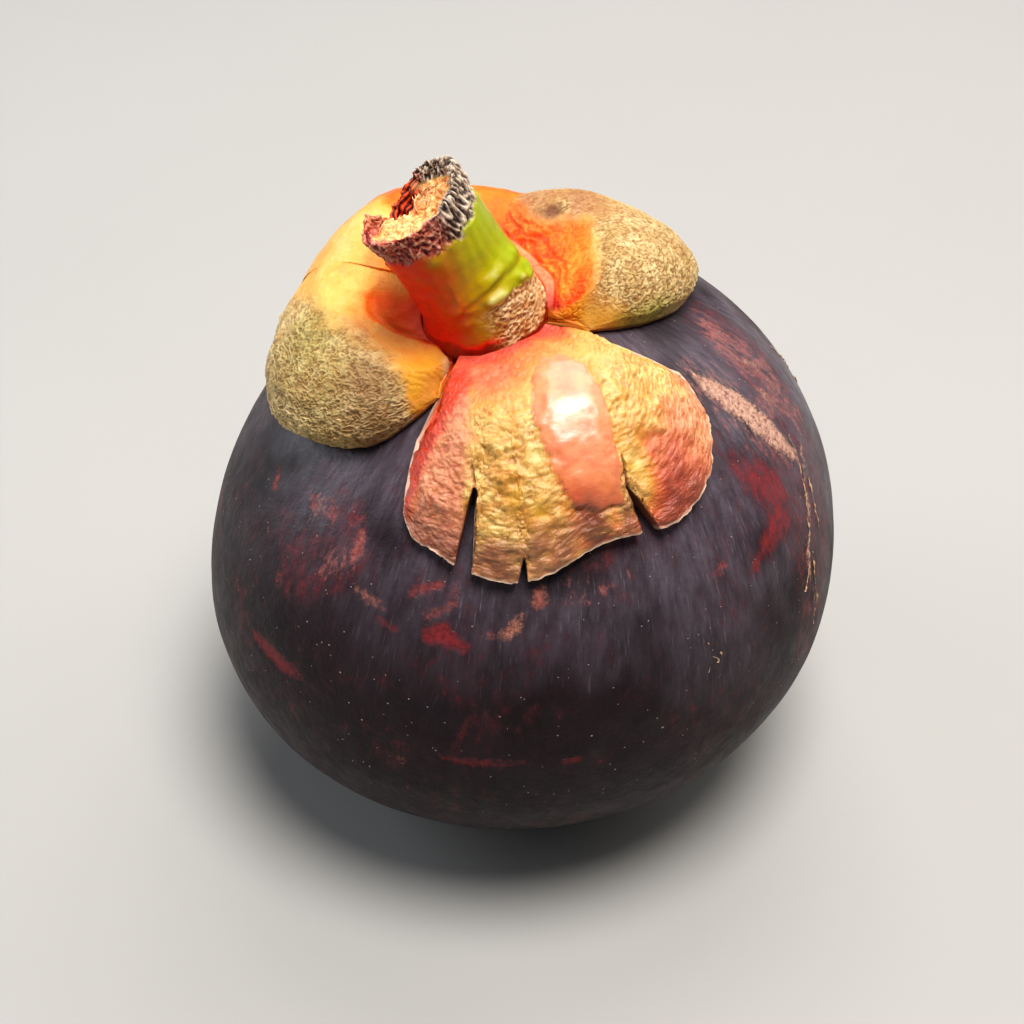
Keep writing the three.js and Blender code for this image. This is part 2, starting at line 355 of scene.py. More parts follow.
def make_piece(name, points, faces, material, fields=None):
    """A smooth mesh object at the origin from millimetre points, with fields that its finish reads."""
    mesh = bpy.data.meshes.new(name)
    mesh.from_pydata(points * MM, [], faces)
    for field, values in (fields or {}).items():
        store = mesh.attributes.new(field, "FLOAT", "POINT")
        store.data.foreach_set("value", np.ravel(values).astype(np.float32))
    shape = bmesh.new()
    shape.from_mesh(mesh)
    bmesh.ops.recalc_face_normals(shape, faces=shape.faces)
    shape.to_mesh(mesh)
    shape.free()
    mesh.polygons.foreach_set("use_smooth", [True] * len(mesh.polygons))
    mesh.materials.append(material)
    piece = bpy.data.objects.new(name, mesh)
    bpy.context.scene.collection.objects.link(piece)
    return piece


def tube_faces(rings, around):
    """Quads between closed rings, and a fan of triangles from a last point over each end."""
    i, j = np.meshgrid(np.arange(rings - 1), np.arange(around), indexing="ij")
    a = (i * around + j).ravel()
    b = (i * around + (j + 1) % around).ravel()
    quads = np.stack([a, b, b + around, a + around], -1).tolist()
    low, high = rings * around, rings * around + 1
    ends = [(low, (k + 1) % around, k) for k in range(around)]
    base = (rings - 1) * around
    ends += [(high, base + k, base + (k + 1) % around) for k in range(around)]
    return quads + ends


def tube_piece(name, grid, fields, material):
    """A closed piece from a [ring][point] grid, with a fan of triangles over each end."""
    points = np.vstack([grid.reshape(-1, 3), [grid[0].mean(0), grid[-1].mean(0)]])
    spread = {key: np.append(values.ravel(), [values[0, 0], values[-1, 0]]) for key, values in fields.items()}
    return make_piece(name, points, tube_faces(*grid.shape[:2]), material, spread)


def tint(colour, *factors):
    """A colour with its channels times one factor or three."""
    return tuple(min(1, channel * factor) for channel, factor in zip(colour, factors * 3))


# ---------------------------------------------------------------- node helpers
class Nodes:
    """A node tree being built."""

    def add(self, kind, sockets=None, **settings):
        """A new node with its settings, and its sockets joined or set."""
        node = self.tree.nodes.new(kind)
        for key, value in settings.items():
            setattr(node, key, value)
        for key, value in (sockets or {}).items():
            self.put(node.inputs[key], value)
        return node

    def put(self, socket, value):
        """Join a socket to another one, or set it to a plain value."""
        if isinstance(value, bpy.types.NodeSocket):
            self.tree.links.new(value, socket)
        else:
            socket.default_value = value

    def maths(self, operation, *values):
        """The outcome of a sum, whose values are numbers or sockets."""
        return self.add("ShaderNodeMath", dict(enumerate(values)), operation=operation).outputs[0]

    def times(self, a, b):
        return self.maths("MULTIPLY", a, b)

    def plus(self, a, b):
        return self.maths("ADD", a, b)

    def less(self, a, b):
        return self.maths("SUBTRACT", a, b)


class Finish(Nodes):
    """A material being built."""

    def __init__(self, name):
        self.material = bpy.data.materials.new(name)
        self.material.use_nodes = True
        self.tree = self.material.node_tree
        self.shader = self.tree.nodes["Principled BSDF"]
        self.place = self.add("ShaderNodeTexCoord").outputs["Object"]

    def noise(self, size, detail=3.0, roughness=0.55, distortion=0.0, where=None):
        """Noise around 0.5 with swells of `size` mm."""
        sockets = {"Vector": where or self.place, "Scale": 1 / (size * MM), "Detail": detail}
        sockets |= {"Roughness": roughness, "Distortion": distortion}
        return self.add("ShaderNodeTexNoise", sockets).outputs[0]

    def sway(self, noise, strength):
        """Noise brought to lie around 0, times `strength`."""
        return self.times(self.less(noise, 0.5), strength)

    def dots(self, size):
        """The distance from the middle of the nearest of cells `size` mm across."""
        sockets = {"Vector": self.place, "Scale": 1 / (size * MM)}
        return self.add("ShaderNodeTexVoronoi", sockets).outputs["Distance"]

    def stretch(self, where, scale):
        """A place with its axes scaled, which stretches noise along the small ones."""
        return self.add("ShaderNodeMapping", {"Vector": where, "Scale": scale}).outputs[0]

    def field(self, name, output="Fac"):
        """What make_piece has stored under a name."""
        return self.add("ShaderNodeAttribute", attribute_name=name).outputs[output]

    def step(self, value, low, high, to_low=0.0, to_high=1.0):
        """A soft step from `to_low` at `low` to `to_high` at `high`."""
        sockets = {"Value": value, "From Min": low, "From Max": high, "To Min": to_low, "To Max": to_high}
        return self.add("ShaderNodeMapRange", sockets, interpolation_type="SMOOTHSTEP").outputs[0]

    def ramp(self, value, *stops):
        """Colours by value, from (value, colour) stops in rising order."""
        node = self.add("ShaderNodeValToRGB", {"Fac": value})
        band = node.color_ramp.elements
        for k, (at, colour) in enumerate((stops[0], stops[-1], *stops[1:-1])):
            stop = band[k] if k < 2 else band.new(at)
            stop.position = at
            stop.color = (*colour, 1)
        return node.outputs[0]

    def blend(self, share, a, b, kind="MIX"):
        """From colour `a` to colour `b`, where a colour is a tuple or a socket."""
        a, b = ((*colour, 1) if isinstance(colour, tuple) else colour for colour in (a, b))
        return self.add("ShaderNodeMix", {0: share, 6: a, 7: b}, data_type="RGBA", blend_type=kind).outputs[2]

    def mixed(self, share, a, b):
        """From number `a` to number `b`."""
        return self.add("ShaderNodeMix", {0: share, 2: a, 3: b}, data_type="FLOAT").outputs[0]

    def bump(self, height, depth, under=None):
        """A bump `depth` mm high over an earlier one."""
        sockets = {"Height": height, "Distance": depth * MM, "Strength": 1.0}
        if under is not None:
            sockets["Normal"] = under
        return self.add("ShaderNodeBump", sockets).outputs[0]

    def finish(self, colour, roughness, normal=None, **fixed):
        """Join the shader's sockets and hand over the material."""
        sockets = {"Base Color": colour, "Roughness": roughness}
        if normal is not None:
            sockets["Normal"] = normal
        for key, value in (sockets | fixed).items():
            self.put(self.shader.inputs[key.replace("_", " ")], value)
        return self.material


class GrowthTree(Nodes):
    """A Geometry Nodes tree being built, with named inputs and their usual values."""

    KINDS = {int: "NodeSocketInt", float: "NodeSocketFloat", tuple: "NodeSocketVector"}

    def __init__(self, name, sizes):
        self.tree = bpy.data.node_groups.new(name, "GeometryNodeTree")
        for way in ("INPUT", "OUTPUT"):
            self.tree.interface.new_socket("Geometry", in_out=way, socket_type="NodeSocketGeometry")
        for key, value in sizes.items():
            socket = self.tree.interface.new_socket(key, in_out="INPUT", socket_type=self.KINDS[type(value)])
            socket.default_value = value
        self.inputs = self.tree.nodes.new("NodeGroupInput").outputs

    def position(self):
        """Where each point of the geometry lies."""
        return self.add("GeometryNodeInputPosition").outputs[0]

    def vector_maths(self, operation, sockets):
        return self.add("ShaderNodeVectorMath", sockets, operation=operation).outputs[0]

    def above(self, value, limit):
        """True where a value is greater than a limit."""
        sockets = {0: value, 1: limit}
        test = self.add("FunctionNodeCompare", sockets, data_type="FLOAT", operation="GREATER_THAN")
        return test.outputs[0]

    def random(self, low, high):
        """A seeded random number, or a random vector between two tuples."""
        first, kind = (0, "FLOAT_VECTOR") if isinstance(low, tuple) else (2, "FLOAT")
        sockets = {first: low, first + 1: high, "Seed": self.inputs["Seed"]}
        return self.add("FunctionNodeRandomValue", sockets, data_type=kind).outputs[first // 2]

    def thread(self, curve, sides, scale=1.0):
        """A closed tube along a curve, as thick as the input Thickness times `scale`."""
        sockets = {"Resolution": sides, "Radius": self.inputs["Thickness"]}
        ring = self.add("GeometryNodeCurvePrimitiveCircle", sockets, mode="RADIUS").outputs[0]
        sockets = {"Curve": curve, "Profile Curve": ring, "Scale": scale, "Fill Caps": True}
        return self.add("GeometryNodeCurveToMesh", sockets).outputs[0]

    def strew(self, chosen, thing, size, twist=None):
        """Copies of a mesh on the chosen faces, as dense as the input Density says."""
        sockets = {key: self.inputs[key] for key in ("Density", "Seed")}
        sockets |= {"Mesh": self.inputs["Geometry"], "Selection": chosen}
        spots = self.add("GeometryNodeDistributePointsOnFaces", sockets).outputs
        turn = spots["Rotation"]
        if twist is not None:
            sockets = {0: turn, 1: twist}
            turn = self.add("FunctionNodeRotateRotation", sockets, rotation_space="LOCAL").outputs[0]
        sockets = {"Points": spots["Points"], "Instance": thing, "Rotation": turn, "Scale": size}
        return self.add("GeometryNodeInstanceOnPoints", sockets).outputs[0]

    def end(self, geometry, material):
        """Realize the instances, give them their material and close the tree."""
        plain = self.add("GeometryNodeRealizeInstances", {0: geometry}).outputs[0]
        dressed = self.add("GeometryNodeSetMaterial", {"Geometry": plain, "Material": material}).outputs[0]
        self.tree.links.new(dressed, self.tree.nodes.new("NodeGroupOutput").inputs[0])
        return self.tree


def grown(name, tree, sizes, mesh=None):
    """A plain mesh object at the origin, made by a Geometry Nodes tree from `mesh`."""
    piece = bpy.data.objects.new(name, mesh or bpy.data.meshes.new(name))
    bpy.context.scene.collection.objects.link(piece)
    modifier = piece.modifiers.new(name, "NODES")
    modifier.node_group = tree
    for socket in tree.interface.items_tree:
        if socket.in_out == "INPUT" and socket.name in sizes:
            modifier[socket.identifier] = sizes[socket.name]
    graph = bpy.context.evaluated_depsgraph_get()
    plain = bpy.data.meshes.new_from_object(piece.evaluated_get(graph), depsgraph=graph)
    piece.modifiers.remove(modifier)
    piece.data = plain
    plain.polygons.foreach_set("use_smooth", [True] * len(plain.polygons))
    return piece


# ---------------------------------------------------------------- the rind
# Marks on the rind. Each has a strength or tone and a path of (bearing, height, half width).
BLUSHES = [
    (0.68, [
        (321, 44.8, 1.2), (325, 43.2, 2.1), (329, 41.2, 2.5), (330, 39.2, 2.1), (326, 38.5, 1.5),
        (320.5, 38.2, 0.9), (316, 37.5, 0.4),
    ]),
    (0.95, [
        (333, 39.8, 0.9), (329, 40.0, 1.3), (324.5, 39.3, 1.1), (319.5, 38.4, 0.75), (315.6, 37.4, 0.4),
    ]),
    (0.4, [(342, 42, 5.5), (336, 34, 5.5), (331, 25, 3.5)]),
    (0.42, [(0, 50, 3.5), (354, 46.5, 4.5), (347, 42, 4)]),
    (0.42, [(226, 42, 2.5), (231, 39.5, 3.2), (222, 37, 3.5)]),
    (0.4, [(208, 30, 2), (212, 27, 2)]),
    (0.25, [(300, 26, 4), (312, 24, 4)]),
    (0.5, [(24, 40, 4), (33, 35, 3.5)]),
    (0.45, [(78, 33, 3), (90, 31, 2)]),
    (0.5, [(118, 42, 3), (130, 39, 2.5)]),
    (0.4, [(160, 25, 3), (171, 27, 2)]),
]
GRAZES = [
    (1.0, [
        (359, 50.3, 1.8), (353, 49.4, 2.2), (353, 48, 2.8), (355, 46.3, 2.6), (350, 44.6, 2.2),
        (345, 45.3, 2.2),
    ]),
    (0.8, [(350, 44, 2.2), (352, 42, 2.0)]),
    (0.75, [(331, 49.5, 3.0), (334, 45.5, 2.8), (339, 41.5, 1.8)]),
    (0.8, [(217, 41.6, 1.2), (223, 42, 1.3)]),
    (0.9, [(230, 39.4, 1.7), (227.5, 38.2, 1.2)]),
    (0.6, [(277, 40.2, 1.8), (285, 40.8, 1.6)]),
    (0.7, [(27, 38.5, 2.5), (35, 34.5, 2)]),
    (0.7, [(120, 41, 2), (127, 39.5, 1.5)]),
]
CUTS = [
    (0.55, [(203.3, 40.7, 0.35), (204.8, 39.9, 0.5)]),
    (0.6, [(216.5, 41.8, 0.35), (218, 41.3, 0.45)]),
    (0.7, [(222, 42.3, 0.35), (223.5, 41.7, 0.45)]),
    (0.45, [(228.6, 42.0, 0.3), (230.4, 42.7, 0.45)]),
    (0.75, [(232, 41.6, 0.45), (232.8, 40.6, 0.65), (232.2, 39.9, 0.4)]),
    (0.6, [(217.7, 34.7, 0.38), (218, 34.3, 0.4)]),
    (0.5, [(221, 34.2, 0.25), (221.3, 33.9, 0.25)]),
    (0.85, [(235, 38.0, 0.22), (238, 37.6, 0.42), (241.6, 37.4, 0.2)]),
    (0.35, [(241, 36.3, 0.25), (245, 36.1, 0.3)]),
    (0.55, [(246.3, 39.2, 0.3), (249, 39.9, 0.5), (251.7, 40.4, 0.3)]),
    (0.65, [(254.3, 40.4, 0.28), (254.9, 39.2, 0.28), (252.4, 38.3, 0.3), (250.4, 37.9, 0.4)]),
    (0.45, [(251.3, 36.3, 0.7), (253.6, 36.8, 1.0), (256, 36.2, 0.7), (258.3, 35.9, 0.45)]),
    (1.0, [(265, 37.3, 0.5), (266.6, 37.9, 0.5), (267.4, 38.9, 0.2)]),
    (0.85, [(270.4, 40.6, 0.5), (270.6, 39.8, 0.65)]),
    (0.7, [(262, 37.2, 0.25), (262.4, 37.1, 0.3)]),
    (0.25, [(215.5, 27.6, 0.5), (219.5, 27.6, 0.8), (224, 27.3, 0.85), (228.5, 27.5, 0.4)]),
    (0.3, [(256.3, 24.8, 0.2), (260, 24.7, 0.42), (266, 24.9, 0.35), (270, 25.1, 0.12)]),
    (0.15, [(258.2, 25.6, 0.2), (260.2, 29.0, 0.28)]),
    (0.9, [(249.6, 23.5, 0.25), (250.1, 23.1, 0.25)]),
    (0.3, [(276.9, 25, 0.35), (278.6, 25.1, 0.35)]),
    (0.55, [(306, 38.8, 0.3), (308.4, 39.2, 0.45)]),
    (0.35, [(316.6, 37.9, 0.5), (315, 37.5, 0.3)]),
    (0.5, [(20, 36, 0.5), (22, 34, 0.7)]),
    (0.7, [(44, 30, 0.4), (48, 30.6, 0.4)]),
    (0.4, [(84, 38, 0.5), (88, 37.4, 0.7)]),
    (0.6, [(104, 27, 0.4), (106, 24, 0.5)]),
    (0.5, [(142, 34, 0.6), (146, 34.5, 0.4)]),
    (0.8, [(166, 38, 0.35), (170, 37.6, 0.4)]),
    (0.35, [(182, 31, 0.5), (187, 30.6, 0.4)]),
]
SCARS = [
    (1.0, path)
    for path in (
        [
            (329, 50.3, 0.3), (330.5, 49.3, 1.1), (333.6, 47.6, 1.6), (336, 45.6, 1.6), (338, 43.4, 1.3),
            (340.6, 41, 0.7),
        ],
        [(346, 41.2, 0.35), (343, 40.2, 0.5), (339.8, 39.1, 0.4)],
        [(338, 38.2, 0.4), (336.9, 36.9, 0.65), (335, 35.8, 0.35)],
        [(333.4, 35.2, 0.4), (332, 34.2, 0.6), (331, 32.5, 0.55), (330.6, 31.4, 0.3)],
        [(331.6, 30.2, 0.35), (332, 28.8, 0.4)],
        [(352, 47.6, 0.5), (353.6, 46.9, 0.4)],
        [(346, 45.9, 0.5), (345, 45.0, 0.35)],
        [(92, 39.5, 0.6), (97, 37.4, 0.8), (101, 36.8, 0.3)],
        [(139, 30.4, 0.5), (142, 29.6, 0.5)],
    )
]
# Thin raised scratches, each a path of (bearing, height), and how far their middles lie in the skin.
SCRATCHES = [
    [
        (301.6, 33.8), (302.6, 33.1), (302.9, 32.5), (302.3, 32.3), (303.4, 31.9), (304.3, 31.2),
        (303.5, 31.3),
    ],
    [(304.4, 32.2), (304.9, 31.6)],
    [(302.1, 31.2), (301.6, 30.3)],
    [(343.2, 42.6), (341, 40.6), (339, 39.4), (337.4, 38), (335.6, 37.2)],
    [(335, 36.8), (334.2, 35.4), (332.6, 34.2), (331.4, 32.8), (329.6, 31.6), (328.4, 31)],
    [(334, 33.4), (332.8, 31), (333.4, 28.4), (331.8, 25.8)],
    [(341.6, 38.6), (339.6, 36.6), (338.8, 34.4)],
    [(12, 44), (15, 41), (14, 38.5), (17, 36)],
    [(70, 41), (76, 39.4), (83, 39)],
    [(150, 40), (153, 37), (152, 34)],
]
SCRATCH_SINK = 0.14


def rind_profile(rings):
    """Radius and height from the middle of the hollow underneath to the top, and the run along them."""
    radius, rise, fall = rind_size()
    down = np.linspace(-math.acos(FLAT_RADIUS / radius), 0, 400)[:-1]
    up = np.linspace(0, math.pi / 2, 400)
    wide = HOLLOW_RADIUS
    hollow = [(0, HOLLOW_TOP), (wide * 0.93, HOLLOW_DEPTH), (wide, 0.25), (wide + 0.3, 0)]
    lower = np.stack([radius * np.cos(down), GIRTH_HEIGHT + fall * np.sin(down)], -1)
    upper = np.stack([radius * np.cos(up), GIRTH_HEIGHT + rise * np.sin(up)], -1)
    dense = np.vstack([hollow, lower, upper])
    length = run_along(dense)
    even = np.linspace(0, length[-1], rings + 2)[1:-1]
    return np.stack([np.interp(even, length, dense[:, k]) for k in (0, 1)], -1), even


def rind_spot(bearing, height):
    """A point on the rind by compass bearing and height."""
    radius, rise, fall = rind_size()
    height = np.asarray(height, float)
    slope = (height - GIRTH_HEIGHT) / np.where(height > GIRTH_HEIGHT, rise, fall)
    out = radius * np.sqrt(np.maximum(0, 1 - slope**2))
    turn = np.radians(bearing)
    dx, dy = lean_offset(height)
    return np.stack([out * np.cos(turn) + dx, out * np.sin(turn) + dy, height], -1)


def mark_field(points, marks):
    """How far inside the nearest mark each point is, in mm, negative outside, and that mark's strength."""
    inside, strength = np.full(points.shape[:-1], -3.0), np.zeros(points.shape[:-1])
    for force, path in marks:
        path = np.array(path, float)
        depth = inside_line(points, rind_spot(path[:, 0], path[:, 1]), path[:, 2])
        strength = np.where(depth > inside, force, strength)
        inside = np.maximum(inside, depth)
    return inside, strength


def rind_finish():
    """Dark skin with wax and a painted sheen, hairs painted light as glints, worn and cut places and the dry
    cork of old wounds.
    """
    settings = bpy.context.scene.mangosteen_rind
    skin = Finish("rind_skin")
    along = skin.field("meridian", "Vector")
    names = ("blush", "graze", "wax_sheen", "cut", "cut_tone", "scar")
    blush, graze, wax_sheen, cut, cut_tone, scar = (skin.field(name) for name in names)

    ripe = skin.step(skin.noise(7, 5, 0.6), 0.3, 0.7)
    tone = skin.blend(ripe, tint(settings.dark, 0.4), tint(settings.dark, 1.3))
    # The wax's grey, laid on as a painted sheen that is strongest on the upper rind.
    haze = skin.noise(1.2, 5, 0.65, where=skin.stretch(along, (1, 1, 0.35)))
    tone = skin.blend(skin.times(wax_sheen, skin.step(haze, 0.25, 0.75, 0.35, 1)), tone, tuple(settings.wax_sheen))
    hair = skin.noise(0.2, 3, 0.6, where=skin.stretch(along, (1, 1, 0.09)))
    # Hairlines painted light where the painted sheen lies: partly their own pale colour, partly painted
    # glints.
    hair_glints = skin.times(skin.step(hair, 0.58, 0.76, 0.0, 0.6), skin.plus(wax_sheen, 0.02))
    tone = skin.blend(hair_glints, tone, (0.27, 0.23, 0.27))

    mottle = skin.noise(0.9, 6, 0.72, where=skin.stretch(along, (1, 1, 0.6)))
    flush = skin.step(skin.plus(blush, skin.sway(mottle, 1.7)), 0.05, 1.0)
    red = skin.blend(flush, tint(settings.blush, 0.25, 0.5, 0.55), tint(settings.blush, 1.1, 0.8, 0.7))
    tone = skin.blend(skin.times(flush, 0.9), tone, red)
    worn = skin.step(skin.plus(graze, skin.sway(mottle, 3.4)), 0.55, 1.15)
    flecks = skin.step(skin.noise(0.32, 4, 0.7), 0.38, 0.62, 0.35, 1)
    tone = skin.blend(skin.times(skin.times(worn, flecks), 0.6), tone, (0.40, 0.17, 0.15))

    nick = skin.step(skin.plus(cut, skin.sway(skin.noise(0.5, 6, 0.75), 1.7)), -0.3, 0.45)
    fresh = skin.ramp(
        cut_tone,
        (0.0, (0.14, 0.014, 0.016)),
        (0.45, (0.28, 0.03, 0.035)),
        (0.75, (0.46, 0.13, 0.11)),
        (1.0, (0.66, 0.27, 0.17)),
    )
    raw = skin.blend(0.6, fresh, (0.10, 0.012, 0.014))
    fresh = skin.blend(skin.step(skin.noise(0.45, 4, 0.6), 0.36, 0.6), raw, fresh)
    tone = skin.blend(skin.times(nick, 0.85), tone, fresh)

    crumb = skin.noise(0.4, 5, 0.75, 0.4)
    ragged = skin.plus(skin.plus(scar, skin.sway(crumb, 2.6)), skin.sway(mottle, 1.2))
    dry = skin.step(ragged, -0.05, 0.6)
    cork = tuple(settings.scar)
    pale = skin.ramp(
        skin.noise(0.45, 5, 0.75), (0.36, tint(cork, 0.4, 0.22, 0.25)), (0.52, cork), (0.66, tint(cork, 1.3))
    )
    tone = skin.blend(skin.times(dry, 0.88), tone, pale)

    uneven = skin.step(skin.noise(2.5, 5, 0.65), 0.3, 0.7, -0.06, 0.08)
    polish = skin.plus(skin.plus(skin.mixed(wax_sheen, 0.52, 0.34), uneven), skin.times(dry, 0.25))
    relief = skin.bump(hair, 0.024)
    relief = skin.bump(skin.noise(0.9, 5, 0.65), 0.12, relief)
    relief = skin.bump(skin.times(dry, crumb), 0.10, relief)
    relief = skin.bump(skin.times(nick, -1.0), 0.03, relief)
    return skin.finish(tone, polish, relief, Specular_IOR_Level=0.3)


def speck_tree(material):
    """Geometry Nodes: low grains strewn over a surface, clear of its underside."""
    tree = GrowthTree("rind_specks", {"Density": 50000.0, "Grain": 0.00009, "Clear Below": 0.004, "Seed": 7})
    height = tree.add("ShaderNodeSeparateXYZ", {0: tree.position()}).outputs[2]
    sockets = {"Radius": tree.inputs["Grain"], "Subdivisions": 1}
    speck = tree.add("GeometryNodeMeshIcoSphere", sockets).outputs[0]
    size = tree.random((0.35, 0.35, 0.25), (1.2, 1.2, 0.45))
    return tree.end(tree.strew(tree.above(height, tree.inputs["Clear Below"]), speck, size), material)


def scratch_tree(material):
    """Geometry Nodes: thin raised lines that follow edge paths, thick and thin by turns."""
    tree = GrowthTree("rind_scratches", {"Thickness": 0.0001, "Wander": 0.0004, "Step": 0.00018})
    path = tree.add("GeometryNodeMeshToCurve", {0: tree.inputs["Geometry"]}).outputs[0]
    sockets = {"Curve": path, "Length": tree.inputs["Step"]}
    fine = tree.add("GeometryNodeResampleCurve", sockets, mode="LENGTH").outputs[0]
    swell = tree.add("ShaderNodeTexNoise", {"Vector": tree.position(), "Scale": 1100.0, "Detail": 2.0})
    centred = tree.vector_maths("SUBTRACT", {0: swell.outputs["Color"], 1: (0.5, 0.5, 0.5)})
    shift = tree.vector_maths("SCALE", {0: centred, "Scale": tree.inputs["Wander"]})
    bent = tree.add("GeometryNodeSetPosition", {"Geometry": fine, "Offset": shift}).outputs[0]
    beat = tree.add("ShaderNodeTexNoise", {"Vector": tree.position(), "Scale": 2300.0, "Detail": 1.0})
    sockets = {"Value": beat.outputs[0], "From Min": 0.42, "From Max": 0.7, "To Min": 0.12, "To Max": 1.4}
    thick = tree.add("ShaderNodeMapRange", sockets).outputs[0]
    return tree.end(tree.thread(bent, 6, thick), material)


def dry_cork(name, colour):
    """The finish of small dry flakes and grains."""
    skin = Finish(name)
    grainy = skin.noise(0.15, 3, 0.6)
    return skin.finish(skin.blend(grainy, tint(colour, 0.6), tint(colour, 1.4)), 0.7, skin.bump(grainy, 0.03))


def scratch_paths():
    """A mesh of edges along the scratches, sunk a little so that their tubes lie in the skin."""
    points, edges = [], []
    for path in SCRATCHES:
        spots = rind_spot(*np.array(path, float).T)
        away = unit(spots - np.array([*lean_offset(30), 25]))
        edges += [(len(points) + k, len(points) + k + 1) for k in range(len(path) - 1)]
        points.extend(spots - SCRATCH_SINK * away)
    lines = bpy.data.meshes.new("scratch_paths")
    lines.from_pydata(np.array(points) * MM, edges, [])
    return lines


def rind_fields(points):
    """What the rind's finish reads at each point: its marks, its blush, and its wax with its painted sheen.
    """
    fields = {"scar": mark_field(points, SCARS)[0]}
    fields["cut"], fields["cut_tone"] = mark_field(points, CUTS)
    for key, marks in (("blush", BLUSHES), ("graze", GRAZES)):
        inside, strength = mark_field(points, marks)
        fields[key] = strength * smooth(-1.6, 1.6, inside)
    fields["blush"] = np.maximum(fields["blush"], 0.10 + 0.3 * rough(points, 7, 3, 14))
    x, y, z = points.T
    # The wax and its painted sheen: the upper rind, and most of all its left side, is painted lighter where
    # the lamps shine on it.
    upper = smooth(25, 47, z - 5 * np.cos(np.arctan2(y, x) - 2.9))
    fields["wax_sheen"] = (0.04 + 0.86 * upper) * smooth(-0.6, 0.5, rough(points, 9, 3, 10) + 0.3 * upper)
    return fields


class MANGOSTEEN_OT_rind(bpy.types.Operator):
    """Make the rind: a leaning round fruit with a flat spot, soft dents, specks and healed marks"""

    bl_idname = "mangosteen.rind"
    bl_label = "Rind"

    def execute(self, context):
        settings = context.scene.mangosteen_rind
        rings, around = 190, 420
        profile, length = rind_profile(rings)
        turn = 2 * np.pi * np.arange(around) / around
        out, z = profile[:, :1], np.repeat(profile[:, 1:], around, 1)
        dx, dy = lean_offset(z)
        grid = np.stack([out * np.cos(turn) + dx, out * np.sin(turn) + dy, z], -1)
        dent = settings.swell / MM * (0.5 + 0.5 * rough(grid, 13, 3, 3)) + 0.06
        scar = mark_field(grid, SCARS)[0]
        crust = smooth(-0.1, 0.4, scar + 0.5 * rough(grid, 1.3, 3, 8)) * (0.09 + 0.05 * grain(grid, 0.9, 9))
        cut = 0.05 * smooth(-0.1, 0.3, mark_field(grid, CUTS)[0])
        lift = -dent * smooth(2.5, 7, z) + crust - cut
        grid = grid - grid_normals(grid, wrap=True) * lift[..., None]
        top = settings.height / MM
        ends = [[*lean_offset(0), HOLLOW_TOP], [*lean_offset(top), top - 0.1]]
        points = np.vstack([grid.reshape(-1, 3), ends])
        piece = make_piece("rind", points, tube_faces(rings, around), rind_finish(), rind_fields(points))

        # Hairs and the wax's painted sheen run from pole to pole, so they read the run along the rind as
        # their height.
        ring = rind_size()[0] * np.stack([np.cos(turn), np.sin(turn)], -1)
        meridian = [np.column_stack([ring, np.full(around, run)]) for run in length]
        meridian = np.vstack([*meridian, [[0, 0, 0], [0, 0, length[-1]]]]) * MM
        store = piece.data.attributes.new("meridian", "FLOAT_VECTOR", "POINT")
        store.data.foreach_set("vector", meridian.ravel().astype(np.float32))
        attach(piece, "root")
        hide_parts("fruit_body")

        area = sum(face.area for face in piece.data.polygons)
        material = dry_cork("speck_cork", (0.30, 0.22, 0.20))
        specks = grown("rind_specks", speck_tree(material), {"Density": settings.specks / area}, piece.data)
        material = dry_cork("scratch_cork", (0.50, 0.32, 0.20))
        scratches = grown("rind_scratches", scratch_tree(material), {}, scratch_paths())
        for small in (specks, scratches):
            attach(small, "root")
        return {"FINISHED"}


# ---------------------------------------------------------------- the calyx
# What a sepal's finish reads at each point, all from 0 to 1: how red the flesh is, golden flesh,
# rosy skin, cork and its wrinkles, green, stains and painted shade, pale torn rims and gloss.
SEPAL_FIELDS = ("flush", "gold", "rosy", "cork", "wrinkle", "green", "stain_and_shade", "pale", "gloss")
# Loops down a sepal's rim, as shares of the way to its foot, and loops under it, by how far back
# from the rim they lie.
RIM_LOOPS = (0.17, 0.34, 0.51, 0.68, 0.84)
UNDER_LOOPS = (0.3, 0.6, 1.0, 1.6, 3.0, 6.0, 12.0)


def rib_lift(share, crest, crest_at, root, form):
    """The height over the skin at a share of a rib's reach."""
    _, hollow, dome, roll, edge = form
    climb = smooth(0, 1, (np.maximum(share, 0) / crest_at) ** hollow)
    beyond = np.clip((share - crest_at) / (1 - crest_at), 0, 1)
    left = (1 - beyond**dome) ** (1 / roll)
    inner = mix(GAP + 0.3 + root * crest, crest, climb)
    return np.where(share < crest_at, inner, mix(GAP + edge * crest, crest, left))


